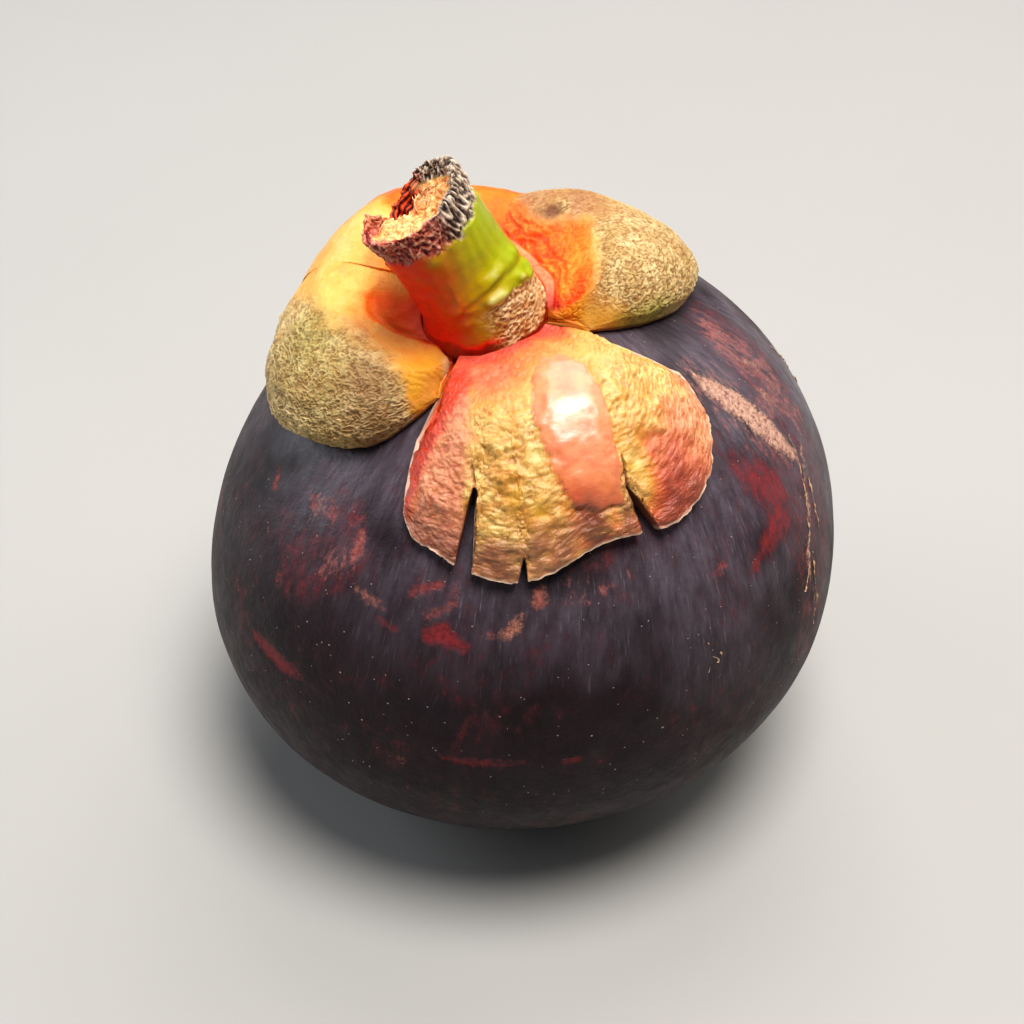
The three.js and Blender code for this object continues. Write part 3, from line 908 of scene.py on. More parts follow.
class Sepal:
    """A sepal's upper side, worked out from its ribs on a grid of [rib][step along the rib]."""

    def __init__(self, name, rows, columns):
        design = SEPALS[name]
        self.form, self.ribs = design["form"], np.array(design["ribs"], float)
        self.slits, self.seams = design.get("slits", []), SEAMS[name]
        self.t = self.row_places(rows)
        fan = spline(self.ribs[:, :3], self.t)
        cut = np.zeros(rows)
        for middle, half, depth, point, _ in self.slits:
            cut = np.maximum(cut, depth * np.clip(1 - (np.abs(fan[:, 0] - middle) / half) ** point, 0, 1))
        turn = np.radians(fan[:, 0])
        rim = np.stack([fan[:, 1] * np.cos(turn), fan[:, 1] * np.sin(turn), 0 * turn], -1)
        self.torn = np.clip(cut / 0.6, 0, 1)[:, None]
        self.reach = fan[:, 1] - cut - 0.1 - 0.13 * (1 + rough(rim, 1.1, 4, 4))

        eased = 1 - (1 - np.linspace(0, 1, columns)) ** 1.5
        whole, reach = fan[:, 1:2], self.reach[:, None]
        even, knee = mix(SEPAL_START, whole, eased[None, :]), mix(SEPAL_START, whole, 0.6)
        self.distance = np.where(even < knee, even, knee + (even - knee) * (reach - knee) / (whole - knee))
        self.top = self.at(self.t[:, None], self.distance)
        onward = self.at(self.t[:, None], self.distance + 1e-3) - self.top
        step = np.where(self.t < 0.5, 1e-3, -1e-3)[:, None]
        beside = (self.top - self.at(self.t[:, None] + step, self.distance)) / step[..., None]
        self.normals = unit(np.cross(onward, beside))
        self.share, self.course, self.lift = self.layout(self.t[:, None], self.distance)
        self.arc = np.radians(self.course - (self.ribs[0, 0] + self.ribs[-1, 0]) / 2) * self.distance

    def row_places(self, rows):
        """Where the rows lie across the ribs, from 0 to 1, closer together at the sides and slits."""
        even = np.linspace(0, 1, 2000)
        bearings = spline(self.ribs[:, :3], even)[:, 0]
        need = 1 + 2.5 * (np.minimum(even, 1 - even) < 0.02)
        for middle, half, *_ in self.slits:
            need = need + 8 * (np.abs(bearings - middle) < half * 1.3)
        done = np.concatenate([[0], np.cumsum((need[1:] + need[:-1]) / 2)])
        return np.interp(np.linspace(0, done[-1], rows), done, even)

    def layout(self, t, distance):
        """Share of the reach, compass bearing and height over the skin."""
        t = np.broadcast_to(t, distance.shape)
        along = np.linspace(-0.01, 1.01, 1500)
        fan = np.hstack([spline(self.ribs[:, :3], along), spline(self.ribs[:, [0, 3, 4]], along)[:, 1:]])
        bearing, full, crest, crest_at, root = (np.interp(t, along, fan[:, k]) for k in range(5))
        first, last = self.ribs[0, 0], self.ribs[-1, 0]
        share = (distance - ROOT_RADIUS) / (full - ROOT_RADIUS)
        pinches = [1 if seam else self.form[0] for seam in self.seams]
        pinch = mix(*pinches, (first - bearing) / (first - last))
        course = (first + last) / 2 + (bearing - (first + last) / 2) * mix(pinch, 1, share)
        lift = rib_lift(share, crest, crest_at, root, self.form)
        free = 36 * (1 - self.form[0]) * smooth(0.55, 0.15, share) + 1.4 * smooth(0.5, 0.9, share)
        for end, seam, way in zip((first - bearing, bearing - last), self.seams, (1, -1)):
            side = np.maximum(end, 0) * np.radians(1) * distance
            radius, low = (0.08, 0.997) if seam else (mix(0.25, 1.1, smooth(0, 0.35, share)), 0.12)
            lift = GAP + (lift - GAP) * mix(low, 1, np.sqrt(1 - (1 - np.clip(side / radius, 0, 1)) ** 2))
            course = course + way * (2.4 if seam else free) * np.exp(-np.maximum(end, 0) / 5)
        for middle, _, depth, _, slant in self.slits:
            course = course + slant * np.clip(full - distance, 0, depth) / depth * bell(bearing - middle, 9)
        return share, course, lift

    def at(self, t, distance):
        """The point at a place across the ribs and a distance from the calyx centre."""
        _, course, lift = self.layout(t, distance)
        return calyx_point(distance, course, lift)


def sepal_piece(name, material, dress, rows=345, columns=230):
    """A closed sepal: the upper side with its relief, a rolled rim, and a plain underside painted dark as
    shade.
    """
    sepal = Sepal(name, rows, columns)
    fields, relief = dress(sepal)
    fields = {key: fields.get(key, 0 * sepal.share) for key in SEPAL_FIELDS}
    top = sepal.top + sepal.normals * relief[..., None]
    course, tuck = sepal.course[:, -1], np.minimum(sepal.lift[:, -1] * 0.55, GAP + 0.3)
    foot = calyx_point(sepal.reach - 0.12, course, tuck)
    inward = calyx_point(sepal.reach - 1.12, course, tuck) - foot
    low = [mix(top[:, -1], foot, share) for share in RIM_LOOPS]
    corky = 0.1 * fields["cork"][:, -1]
    low = [ring + inward * (corky * (1 - crepe(ring, 0.6, 3)))[:, None] for ring in low] + [foot]
    rolled = len(low)
    for back in UNDER_LOOPS:
        low.append(calyx_point(np.maximum(sepal.reach - back, SEPAL_START + 0.1 / back), course, UNDERSIDE))
    low.append(calyx_point(SEPAL_START, sepal.course[:, 0], UNDERSIDE))
    loops = np.concatenate([top, np.stack(low, 1)], 1)
    spread = {}
    for key, values in fields.items():
        under = np.repeat(values[:, -1:], len(low), 1)
        under[:, -1] = values[:, 0]
        # The underside is painted dark all over: painted shade under the sepal.
        if key == "stain_and_shade":
            under[:, rolled:-1] = 1.0
        if key == "wrinkle":
            under[:, :rolled] = crepe(loops[:, columns : columns + rolled], 0.6, 3)
        spread[key] = np.concatenate([values, under], 1)
    piece = tube_piece(f"sepal_{name}", loops, spread, material)
    around = loops.shape[1]
    piece.data.polygons.foreach_set("use_smooth", [True] * ((rows - 1) * around) + [False] * (2 * around))
    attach(piece, "root")
    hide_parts(f"sepal_{name}")
    return piece


def near(points, middle, radius, soft=0.5):
    """1 inside `radius` of a point in plan and 0 outside, over an edge `soft` of the radius wide."""
    far = np.hypot(points[..., 0] - middle[0], points[..., 1] - middle[1])
    return 1 - smooth(radius * (1 - soft), radius * (1 + soft), far)


def streak(points, *path):
    """How far inside a line through (x, y, half width) in plan each point is, in mm."""
    path = np.array(path, float)
    return inside_line(points[..., :2], path[:, :2], path[:, 2])


def outline_field(points, outline):
    """Distance inside a closed outline in plan, negative outside it."""
    flat = points[..., :2]
    nearest = np.full(flat.shape[:-1], 1e9)
    inside = np.zeros(flat.shape[:-1], bool)
    for a, b in zip(outline, outline[1:] + outline[:1]):
        a, b = np.array(a, float), np.array(b, float)
        along = np.clip(((flat - a) @ (b - a)) / ((b - a) @ (b - a)), 0, 1)
        nearest = np.minimum(nearest, np.linalg.norm(flat - a - along[..., None] * (b - a), axis=-1))
        crosses = (a[1] > flat[..., 1]) != (b[1] > flat[..., 1])
        run = (b[0] - a[0]) * (flat[..., 1] - a[1]) / (b[1] - a[1] + 1e-12) + a[0]
        inside ^= crosses & (flat[..., 0] < run)
    return np.where(inside, nearest, -nearest)


def sepal_finish(name, crest, other, valley_shade, dull, shine=0.28):
    """Flesh that turns from yellow to red under cork, with crests painted light, partly as highlights, and
    valleys painted dark as shade.
    """
    settings = bpy.context.scene.mangosteen_calyx
    skin = Finish(name)
    field = {key: skin.field(key) for key in SEPAL_FIELDS}
    fine, soft = skin.noise(0.2, 4, 0.65), skin.noise(1.4, 5, 0.62)

    tone = skin.ramp(
        skin.plus(field["flush"], skin.sway(soft, 0.36)),
        (0.0, tuple(settings.flesh)),
        (0.22, (0.80, 0.38, 0.07)),
        (0.45, (0.82, 0.19, 0.012)),
        (0.6, (0.84, 0.105, 0.006)),
        (0.78, tuple(settings.flush)),
        (1.0, tint(settings.flush, 0.6, 0.3, 0.5)),
    )
    golden = skin.blend(soft, (0.58, 0.27, 0.008), (0.76, 0.42, 0.035))
    tone = skin.blend(skin.times(field["gold"], 0.9), tone, golden)
    blush = skin.blend(skin.step(skin.noise(0.6, 4, 0.6), 0.3, 0.7), (0.46, 0.10, 0.06), (0.78, 0.31, 0.19))
    tone = skin.blend(skin.times(field["rosy"], 0.88), tone, blush)

    patchy = skin.step(skin.noise(2.2, 5, 0.65), 0.36, 0.64)
    # Painted light and shade on the cork: crests lighter, partly as painted highlights, and valleys darker as
    # painted shade.
    light, shade = skin.blend(patchy, crest, other), skin.blend(patchy, valley_shade, tint(valley_shade, 1.25, 1.0, 0.9))
    height = skin.plus(field["wrinkle"], skin.sway(fine, 0.7))
    bark = skin.blend(skin.step(height, -0.05, 0.6), shade, light)
    flecks = skin.step(skin.noise(0.45, 6, 0.8), 0.42, 0.68, 0, 0.6)
    bark = skin.blend(flecks, bark, tint(crest, 0.5, 0.4, 0.33))
    tone = skin.blend(skin.times(field["cork"], 0.95), tone, bark)
    tone = skin.blend(field["green"], tone, (0.44, 0.60, 0.10), "MULTIPLY")

    pores = skin.step(skin.dots(0.5), 0.06, 0.16, 0.4, 0)
    tone = skin.blend(skin.times(pores, skin.less(1.0, field["gloss"])), tone, (0.34, 0.12, 0.03))
    bare = skin.blend(skin.step(soft, 0.3, 0.7), (0.70, 0.19, 0.085), (0.84, 0.31, 0.14))
    tone = skin.blend(field["gloss"], tone, bare)
    # Dark stains, and painted shade on the sepals' undersides and on the walls of the front sepal's slits.
    tone = skin.blend(skin.times(field["stain_and_shade"], 0.85), tone, (0.16, 0.05, 0.024))
    tone = skin.blend(field["pale"], tone, (0.72, 0.52, 0.38))

    polish = skin.plus(skin.step(field["cork"], 0.0, 0.8, 0.40, dull), skin.sway(fine, 0.25))
    polish = skin.mixed(field["gloss"], polish, 0.33)
    lumps = skin.times(fine, skin.less(1.0, skin.times(field["gloss"], 0.75)))
    coat = {"Coat_Weight": skin.times(field["gloss"], 0.5), "Coat_Roughness": 0.32}
    return skin.finish(tone, polish, skin.bump(lumps, 0.09), Specular_IOR_Level=shine, **coat)


# Where the left sepal's cork begins and where the brink of its hollow lies, as shares of its reach by
# bearing.
LEFT_BORDER = [
    (150, 0.95), (160, 0.72), (170, 0.47), (180, 0.38), (188, 0.32), (200, 0.23),
    (215, 0.23), (223, 0.30), (229, 0.42), (233, 0.56), (236, 0.85), (240, 1.2),
]
LEFT_BRINK = [
    (158, 0.24), (167, 0.25), (175, 0.22), (180, 0.19),
    (191, 0.08), (205, 0.0), (222, -0.05), (243, -0.08),
]


def soft_dents(points):
    """Broad shallow dents that every folded sepal shares."""
    return 0.14 * (rough(points, 3.4, 3, 41) - 0.6)


def left_dress(sepal):
    """Cork over the outside, down to an orange hollow that faces the stem."""
    points, share, course = sepal.top, sepal.share, sepal.course
    deep = bpy.context.scene.mangosteen_calyx.wrinkle / MM
    wobble = rough(points, 3, 4, 2)
    cork = smooth(-0.10, 0.12, share - from_table(LEFT_BORDER, course) + 0.10 * wobble)
    sunk = from_table(LEFT_BRINK, course) - share + 0.02 * wobble
    pit = smooth(-0.02, 0.03, sunk) * smooth(157, 166, course)
    hollow = pit * smooth(158, 170, course)
    tip = smooth(216, 234, course + 4 * wobble - 8 * (share - 0.3))
    slope = smooth(0.34, 0.10, share + 0.05 * wobble)
    flush = 0.14 * (1 + wobble + slope + pit + tip) + 0.16 * hollow * smooth(0.3, 0.05, share)
    flush += 0.25 * smooth(0.04, -0.06, share) + 0.1 * near(points, (-14.0, -2.8), 1.8, 0.9)
    wrinkle = 0.75 * crepe(points * (1, 1, 1.3), 0.52, 3) + 0.3 * smooth(-0.3, 0.5, rough(points, 1.1, 2, 8))
    folds = waves(sepal.distance, points, 0.55, 5) * smooth(0.02, 0.2, share) * (1 - pit)
    lift = cork * deep * 1.4 * (wrinkle - 0.9) + soft_dents(points)
    lift += (1 - cork) * (0.04 * folds - 0.04) + 0.10 * cork * rough(points, 1.3, 3, 44)
    lift -= 0.35 * bell(sunk - 0.05, 0.035) * pit
    mossy, lime = near(points, (-16.6, -11.4), 2.4, 0.9), near(points, (-17.9, -6.6), 3.2, 0.9)
    dark = near(points, (-13.0, -13.8), 2.6, 0.9) * smooth(-0.4, 0.5, wobble + 0.3)
    fields = {
        "flush": np.clip(flush, 0, 0.74),
        "gold": 0.75 * tip * (1 - pit) + 0.35 * smooth(0.75, 1.0, share) * (1 - cork),
        "rosy": 0.25 * smooth(0.1, 0.6, wobble) * (1 - pit),
        "cork": cork,
        "wrinkle": wrinkle,
        "green": np.maximum(0.2 * mossy, 0.42 * lime) * cork,
        "stain_and_shade": 0.6 * dark * cork,
        "pale": 0.6 * near(points, (-5.8, -10.4), 0.7, 0.8),
    }
    return fields, lift


def back_dress(sepal):
    """Yellow flesh with a red root and a red right half, and cork near the rim."""
    points, share, course = sepal.top, sepal.share, sepal.course
    wobble = rough(points, 3, 4, 12)
    flush = 0.12 + 0.14 * wobble + 0.4 * smooth(0.42, 0.05, share)
    flush = flush + 0.42 * smooth(126, 118, course + 4 * wobble) * smooth(100, 110, course)
    flush = flush + 0.36 * smooth(108, 92, course)
    folds = waves(sepal.distance, points, 0.6, 15) * smooth(0.1, 0.3, share)
    lift = soft_dents(points) + 0.03 * folds + 0.04 * rough(points, 0.8, 3, 16) - 0.05
    fields = {
        "flush": flush,
        "cork": 0.5 * smooth(0.62, 1.0, share + 0.2 * wobble) * smooth(96, 112, course),
        "wrinkle": crepe(points, 0.9, 13),
        "rosy": 0.25 * smooth(0, 0.5, wobble),
    }
    return fields, lift


# The outline in plan of the right sepal's cork, outside its orange inner face, and how far from
# the calyx centre the edge of its inner flange lies, by bearing.
RIGHT_CORK = [
    (4.8, -7.8), (5.9, -5.4), (6.2, -3.9), (6.2, -1.2), (6.2, 2.0), (5.6, 3.4), (4.2, 3.7),
    (2.2, 3.6), (0.9, 4.8), (-0.1, 7.2), (-3, 13), (20, 20), (25, -12),
]
RIGHT_RIM = [(-12, 5.9), (-5, 6.0), (11, 6.2), (40, 6.5), (60, 7.3), (73, 8.2), (80, 8.9)]


def right_dress(sepal):
    """Cork over the outside and a folded orange face inside, under a rosy flange."""
    points, share, course = sepal.top, sepal.share, sepal.course
    deep = bpy.context.scene.mangosteen_calyx.wrinkle / MM
    x, y, _ = np.moveaxis(points, -1, 0)
    wobble = rough(points, 2.5, 4, 22)
    low = smooth(-5.4, -6.6, y + 0.3 * wobble + 0.1 * (x - 6)) * smooth(12, 8, x)
    shore = outline_field(points, RIGHT_CORK) + 0.3 * rough(points, 1.6, 3, 24)
    top = np.maximum(near(points, (0.8, 7.0), 3.2, 0.8), near(points, (4.8, 6.2), 3.6, 0.8))
    top = top * smooth(-1.0, 0.0, wobble)
    cork = smooth(-0.4, 0.8, shore) * (1 - 0.85 * low) * (1 - 0.35 * top)
    beyond = sepal.distance - from_table(RIGHT_RIM, course) + 0.15 * grain(points, 2.2, 26)
    flange = smooth(0.12, -0.12, beyond) * smooth(-11, -3, course) * smooth(78, 70, course)
    crease = bell(beyond - 0.15, 0.2) * smooth(-11, -3, course)
    inner = smooth(0.1, -0.5, shore) * smooth(0.1, 0.3, beyond)
    folded = inner * smooth(5, 30, course + 6 * wobble) * smooth(2.6, 1.2, beyond)
    folds = waves(beyond + 0.35 * rough(points, 1.1, 3, 29), points, 0.9, 27)
    worms = maze(points, 0.5, 25)
    wrinkle = 0.4 * maze(points, 0.5, 23) + 0.25 * maze(points, 0.3, 30)
    wrinkle += 0.35 * crepe(points, 0.62, 25) - 0.12
    corner = streak(points, (5.9, -3.6, 0.6), (4.8, -5.0, 0.7), (3.2, -6.3, 0.6))
    corner = smooth(-1.1, 0.7, corner + 0.5 * wobble)
    junction = near(points, (2.8, -6.2), 1.5, 0.8)
    scratch = bell(streak(points, (7.0, 2.0, 0), (8.9, 3.1, 0)), 0.12)
    dimple = np.exp(-(((x - 2.8) / 1.0) ** 2 + ((y - 4.6) / 0.6) ** 2))

    flush = 0.40 + 0.14 * wobble + 0.2 * crease - 0.14 * smooth(-1.2, 0, shore) - 0.16 * low
    flush += 0.08 * corner + 0.6 * junction + 0.3 * smooth(0.06, -0.04, share)
    flush += 0.12 * inner * worms + 0.2 * folded * (1 - folds)
    lift = cork * deep * 1.1 * (wrinkle - 0.9) + soft_dents(points) + 0.06 * cork * rough(points, 1.1, 3, 44)
    lift += 0.26 * flange - 0.16 * crease + folded * 0.27 * (folds - 0.6) - 0.4 * dimple
    lift += inner * (0.05 * rough(points, 0.55, 3, 28) + 0.09 * (worms - 1))
    lift += 0.14 * bell(shore - 0.15, 0.4) * smooth(-6.4, -4, y) * smooth(4.4, 3, y)
    rosy = 0.7 * flange * smooth(-7, -4, y) + 0.6 * top * smooth(-0.6, 0.2, shore) + 0.1 * corner
    green = np.maximum(near(points, (11.4, -5.2), 2.2, 0.7), near(points, (9.6, -6.2), 1.6, 0.7))
    stain_and_shade = 0.95 * dimple + 0.5 * top + 0.5 * scratch + 0.08 * cork * smooth(7, 13, x + y)
    fields = {
        "flush": flush - 0.06 * flange,
        "gold": np.clip(0.7 * low + 0.25 * cork * smooth(0.8, 1, share), 0, 1),
        "rosy": np.clip(rosy, 0, 1) * (1 - junction),
        "cork": cork * (1 - 0.5 * corner),
        "wrinkle": wrinkle,
        "green": 0.65 * green * smooth(0.8, 0.97, share),
        "stain_and_shade": np.clip(stain_and_shade, 0, 1),
    }
    return fields, lift


# The outline in plan of the smooth patch on the front sepal, where no cork has formed.
FRONT_PATCH = [
    (1.5, -11.3), (3.6, -11.5), (5.3, -12.7), (6.3, -14.9), (7.2, -16.6), (7.7, -18.8), (8.2, -20.4),
    (8.6, -22.0), (6.7, -22.7), (4.6, -22.9), (3.3, -22.1), (2.4, -20.9), (1.6, -19.5), (0.9, -17.3),
    (0.8, -14.0),
]
# The bright red streak on its left lobe, as (x, y, half width) in plan.
FRONT_STREAK = [
    (-5.8, -12.6, 1.1), (-6.4, -13.4, 1.5), (-7.8, -15.2, 1.5), (-9.2, -18, 0.9), (-10.1, -20.6, 0.3),
]


def front_dress(sepal):
    """Hammered flesh round a smooth patch, with a rosy wing and a lobe in red and yellow."""
    points, share = sepal.top, sepal.share
    deep = bpy.context.scene.mangosteen_calyx.wrinkle / MM
    x, y, _ = np.moveaxis(points, -1, 0)
    wobble, fleck = rough(points, 2.5, 4, 33), rough(points, 1.2, 3, 38)
    shore = outline_field(points, FRONT_PATCH) + 0.3 * rough(points, 1.3, 4, 32)
    patch = smooth(-0.05, 0.12, shore)
    lobe = smooth(-3.7, -5.6, x + 0.9 * wobble) * smooth(0.06, 0.24, share)
    wing = smooth(10.0, 13.4, x + 0.3 * (-16 - y) + 1.1 * wobble)
    base = smooth(0.32, 0.02, share + 0.08 * wobble) * smooth(12, 5, x)
    bright = smooth(-1.0, 0.4, streak(points, *FRONT_STREAK) + 0.4 * fleck)
    rim = smooth(0.84, 1.0, share + 0.05 * wobble)
    lower = smooth(0.68, 0.94, share + 0.1 * wobble) * (1 - wing)
    blush, dusk = near(points, (-2.8, -13.0), 2.8, 0.8), near(points, (13.8, -21.2), 4.0, 0.8)
    yellow, junction = near(points, (9.9, -20.3), 1.5, 0.8), near(points, (2.8, -7.4), 1.5, 0.8)
    ember = np.maximum(near(points, (6.6, -23.8), 1.8, 0.9), near(points, (5.5, -22.8), 1.5, 0.9))
    spots = np.maximum(near(points, (1.5, -23.6), 0.8, 0.8), near(points, (-0.6, -22.7), 0.7, 0.8))
    cork = smooth(0.10, 0.36, share + 0.10 * wobble) * (1 - patch) * (1 - 0.75 * lobe) * (1 - 0.7 * wing)
    cork = np.clip(cork, 0, 1) * (0.6 + 0.35 * smooth(-0.3, 0.4, fleck)) * (1 - bright) * (1 - 0.6 * blush)
    cork = cork * (1 - 0.5 * lower) * (1 - 0.8 * np.maximum(yellow, spots)) * (1 - dusk)
    crack = bell(streak(points, (8.3, -19.6, 0), (8.9, -21.2, 0)), 0.10)
    crack = crack + bell(streak(points, (-4.3, -20.2, 0), (-4.0, -21.2, 0)), 0.12)
    pleat = bell(streak(points, (9.0, -20.2, 0), (10.2, -18.6, 0), (11.2, -17.2, 0)), 0.35)

    spread = np.stack([0.85 * sepal.arc, 1.15 * sepal.distance, 0 * x], -1)
    slanted = np.stack([1.1 * sepal.arc + 0.35 * sepal.distance, 0.8 * sepal.distance, 0 * x], -1)
    hammered = smooth(-0.35, 0.45, rough(points, 1.25, 2, 34))
    coarse = 0.3 * hammered + 0.35 * maze(spread, 0.75, 36) + 0.35 * maze(points, 0.42, 31)
    fine = 0.6 * maze(slanted, 0.5, 37) + 0.4 * maze(points, 0.36, 31)
    wrinkle = mix(coarse, fine, np.maximum(smooth(6, 9.5, x), lobe))

    flush = 0.22 + 0.2 * base + 0.16 * (lobe + wing + wobble) + 0.6 * bright + 0.2 * blush
    flush += 0.5 * dusk - 0.45 * yellow + 0.5 * ember + 0.4 * junction
    flush += 0.35 * smooth(0.05, -0.03, share) + 0.25 * patch * smooth(-20.0, -22.6, y)
    gold = 0.7 * (1 - base) * (1 - lobe) * (1 - wing) * smooth(-0.2, 0.5, fleck) + 0.35 * yellow + 0.9 * spots
    rosy = np.clip(1.0 * lobe + 0.9 * wing + 0.22 * base + 0.4 * blush + 0.85 * lower, 0, 1)
    rosy = rosy * (1 - 0.95 * bright) * (1 - 0.85 * dusk) * (1 - 0.8 * ember) * (1 - 0.8 * yellow)
    rosy = rosy * (1 - junction) * smooth(-0.02, 0.08, share)
    relief = deep * (wrinkle - 1) * mix(0.9, 1.6, cork) * (1 - patch) * smooth(0.02, 0.2, share + 0.1)
    bumps = 0.30 * (rough(points, 2.4, 2, 42) - 0.45) + 0.16 * (hammered - 1)
    lift = relief + bumps * smooth(0.2, 0.5, share) * (1 - 0.8 * patch) - 0.06
    lift += 0.20 * patch * smooth(0, 1.4, shore) - 0.06 * bell(shore, 0.15) - 0.25 * crack - 0.2 * pleat
    lean = (sepal.distance - sepal.distance[:, :1]) / (sepal.distance[:, -1:] - sepal.distance[:, :1])
    stain_and_shade = 0.8 * lower * smooth(-0.9, 0.1, wobble) + 0.25 * rim * wing + 0.7 * dusk * (1 - yellow)
    stain_and_shade += 0.2 * ember + 0.1 * patch * smooth(-20.5, -22.8, y) + 0.9 * crack
    # Painted shade on the walls of the slits.
    stain_and_shade += smooth(0.97, 0.995, lean) * sepal.torn
    fields = {
        "flush": np.clip(flush, 0, 0.85),
        "gold": np.clip(gold, 0, 1) * (1 - patch) * (1 - bright),
        "rosy": rosy,
        "cork": cork,
        "wrinkle": wrinkle,
        "green": 0.18 * near(points, (-1.8, -21.4), 2.6, 0.9) * smooth(-0.3, 0.4, fleck) * (1 - patch),
        "stain_and_shade": np.clip(stain_and_shade, 0, 1),
        "pale": 0.8 * smooth(0.985, 1.0, lean) * (1 - sepal.torn),
        "gloss": patch * (1 - 0.6 * smooth(-20.3, -22.8, y)),
    }
    return fields, lift


class MANGOSTEEN_OT_calyx(bpy.types.Operator):
    """Make the four sepals: three folded caps and the spread, torn one in front"""

    bl_idname = "mangosteen.calyx"
    bl_label = "Calyx"

    def execute(self, context):
        crest = tuple(context.scene.mangosteen_calyx.cork)
        # Each finish takes a crest colour, partly a painted highlight, a second colour, and a valley colour
        # painted dark as shade.
        corky = sepal_finish("sepal_cork", crest, (0.50, 0.35, 0.14), (0.20, 0.11, 0.03), 0.5)
        smooth_skin = sepal_finish("sepal_smooth", crest, (0.60, 0.42, 0.2), (0.34, 0.19, 0.07), 0.55)
        golden, brown, dark = (0.84, 0.58, 0.20), (0.60, 0.27, 0.035), (0.27, 0.095, 0.012)
        spread = sepal_finish("sepal_spread", golden, brown, dark, 0.26, 0.8)
        sepal_piece("left", corky, left_dress)
        sepal_piece("back", smooth_skin, back_dress, 225, 150)
        sepal_piece("right", corky, right_dress)
        sepal_piece("front", spread, front_dress, 385, 228)
        return {"FINISHED"}


# ---------------------------------------------------------------- the stem
# Height as a share of the length, radius as a share of the stem's, and how far the break is sunk in mm.
STEM_PROFILE = [
    (-0.08, 1.08, 0), (0.0, 1.07, 0), (0.07, 1.04, 0), (0.18, 1.01, 0), (0.35, 0.97, 0), (0.5, 0.94, 0),
    (0.65, 0.93, 0), (0.8, 0.96, 0), (0.9, 1.01, 0), (0.96, 1.06, 0), (1.0, 1.02, 0), (1.0, 0.95, 0.1),
    (1.0, 0.86, 0.45), (1.0, 0.78, 1.0), (1.0, 0.62, 1.35), (1.0, 0.4, 1.5), (1.0, 0.2, 1.55),
    (1.0, 0.05, 1.6),
]
# The stem's colour round it, as (angle, hue) from red at 0 to lime at 1.
STEM_HUES = [
    (0, 0.97), (40, 0.95), (90, 0.8), (130, 0.5), (150, 0.2), (200, 0.13), (240, 0.19),
    (258, 0.32), (272, 0.46), (288, 0.62), (310, 0.80), (335, 0.93), (360, 0.97),
]
# The middle of the stem's front, as an angle. By the angle from there: the fold that runs round the
# front, as a share of the length, and how far below it in mm the second fold lies.
STEM_FRONT = 310
STEM_FOLD = [(-48, 0.42), (-40, 0.46), (-13, 0.48), (12, 0.45), (42, 0.38), (65, 0.33), (90, 0.3)]
STEM_COLLAR = [(-50, 1.3), (0, 1.6), (40, 2.2), (90, 2.6)]
# The place of a bud on the stem's front.
STEM_BUD = (-7.0, -11.3, 63.5)
# The height above which the broken end lies, and about how much of its skin holds fibres.
BREAK_HEIGHT, TORN_SHARE = 60.5, 0.35


def stem_grid(rings, around):
    """The bare stem, and each point's angle, share of the length, sinking and share of the radius."""
    settings = bpy.context.scene.mangosteen_stem
    length, radius = settings.length / MM, settings.radius / MM
    foot = calyx_point(0.0, 0.0, GAP)
    upright = unit(calyx_point(0.0, 0.0, 1.0) - calyx_point(0.0, 0.0, 0.0))
    neck, end = foot + upright * length * 0.25, foot + unit(np.array(STEM_AXIS)) * length
    dense = spline([(s * length, r * radius, k) for s, r, k in STEM_PROFILE], np.linspace(0, 1, 800))
    path = run_along(dense)
    even = np.linspace(0, path[-1], rings)
    high, out, sink = (np.interp(even, path, dense[:, k])[:, None] for k in range(3))
    share = np.clip(high / length, STEM_PROFILE[0][0], 1)
    centre = foot * (1 - share) ** 2 + neck * 2 * share * (1 - share) + end * share**2
    along = unit((1 - share) * (neck - foot) + share * (end - neck))
    side = unit(np.cross(np.array([0, 1, 0]), along))
    turn = 2 * np.pi * np.arange(around) / around
    angle = np.degrees(turn)
    give = smooth(0.5, 1, share)
    torn = 2.6 * np.maximum(0, np.cos(turn - np.radians(135))) ** 3
    knob = bell(angle - 187, 18) * smooth(0.3, 0.66, out / radius) * give**3
    wide = out * (1 - 0.22 * bell(angle - 182, 36) * give - 0.2 * knob)
    ragged = give * (0.3 * np.cos(3 * turn) - 0.4 * np.sin(turn) - torn - 0.1) + 1.75 * knob - sink
    moves = ((side, wide * np.cos(turn)), (np.cross(along, side), wide * np.sin(turn)), (along, ragged))
    grid = centre[:, None] + sum(way[:, None] * far[..., None] for way, far in moves)
    return grid, *np.broadcast_arrays(angle, share, sink, out / radius)


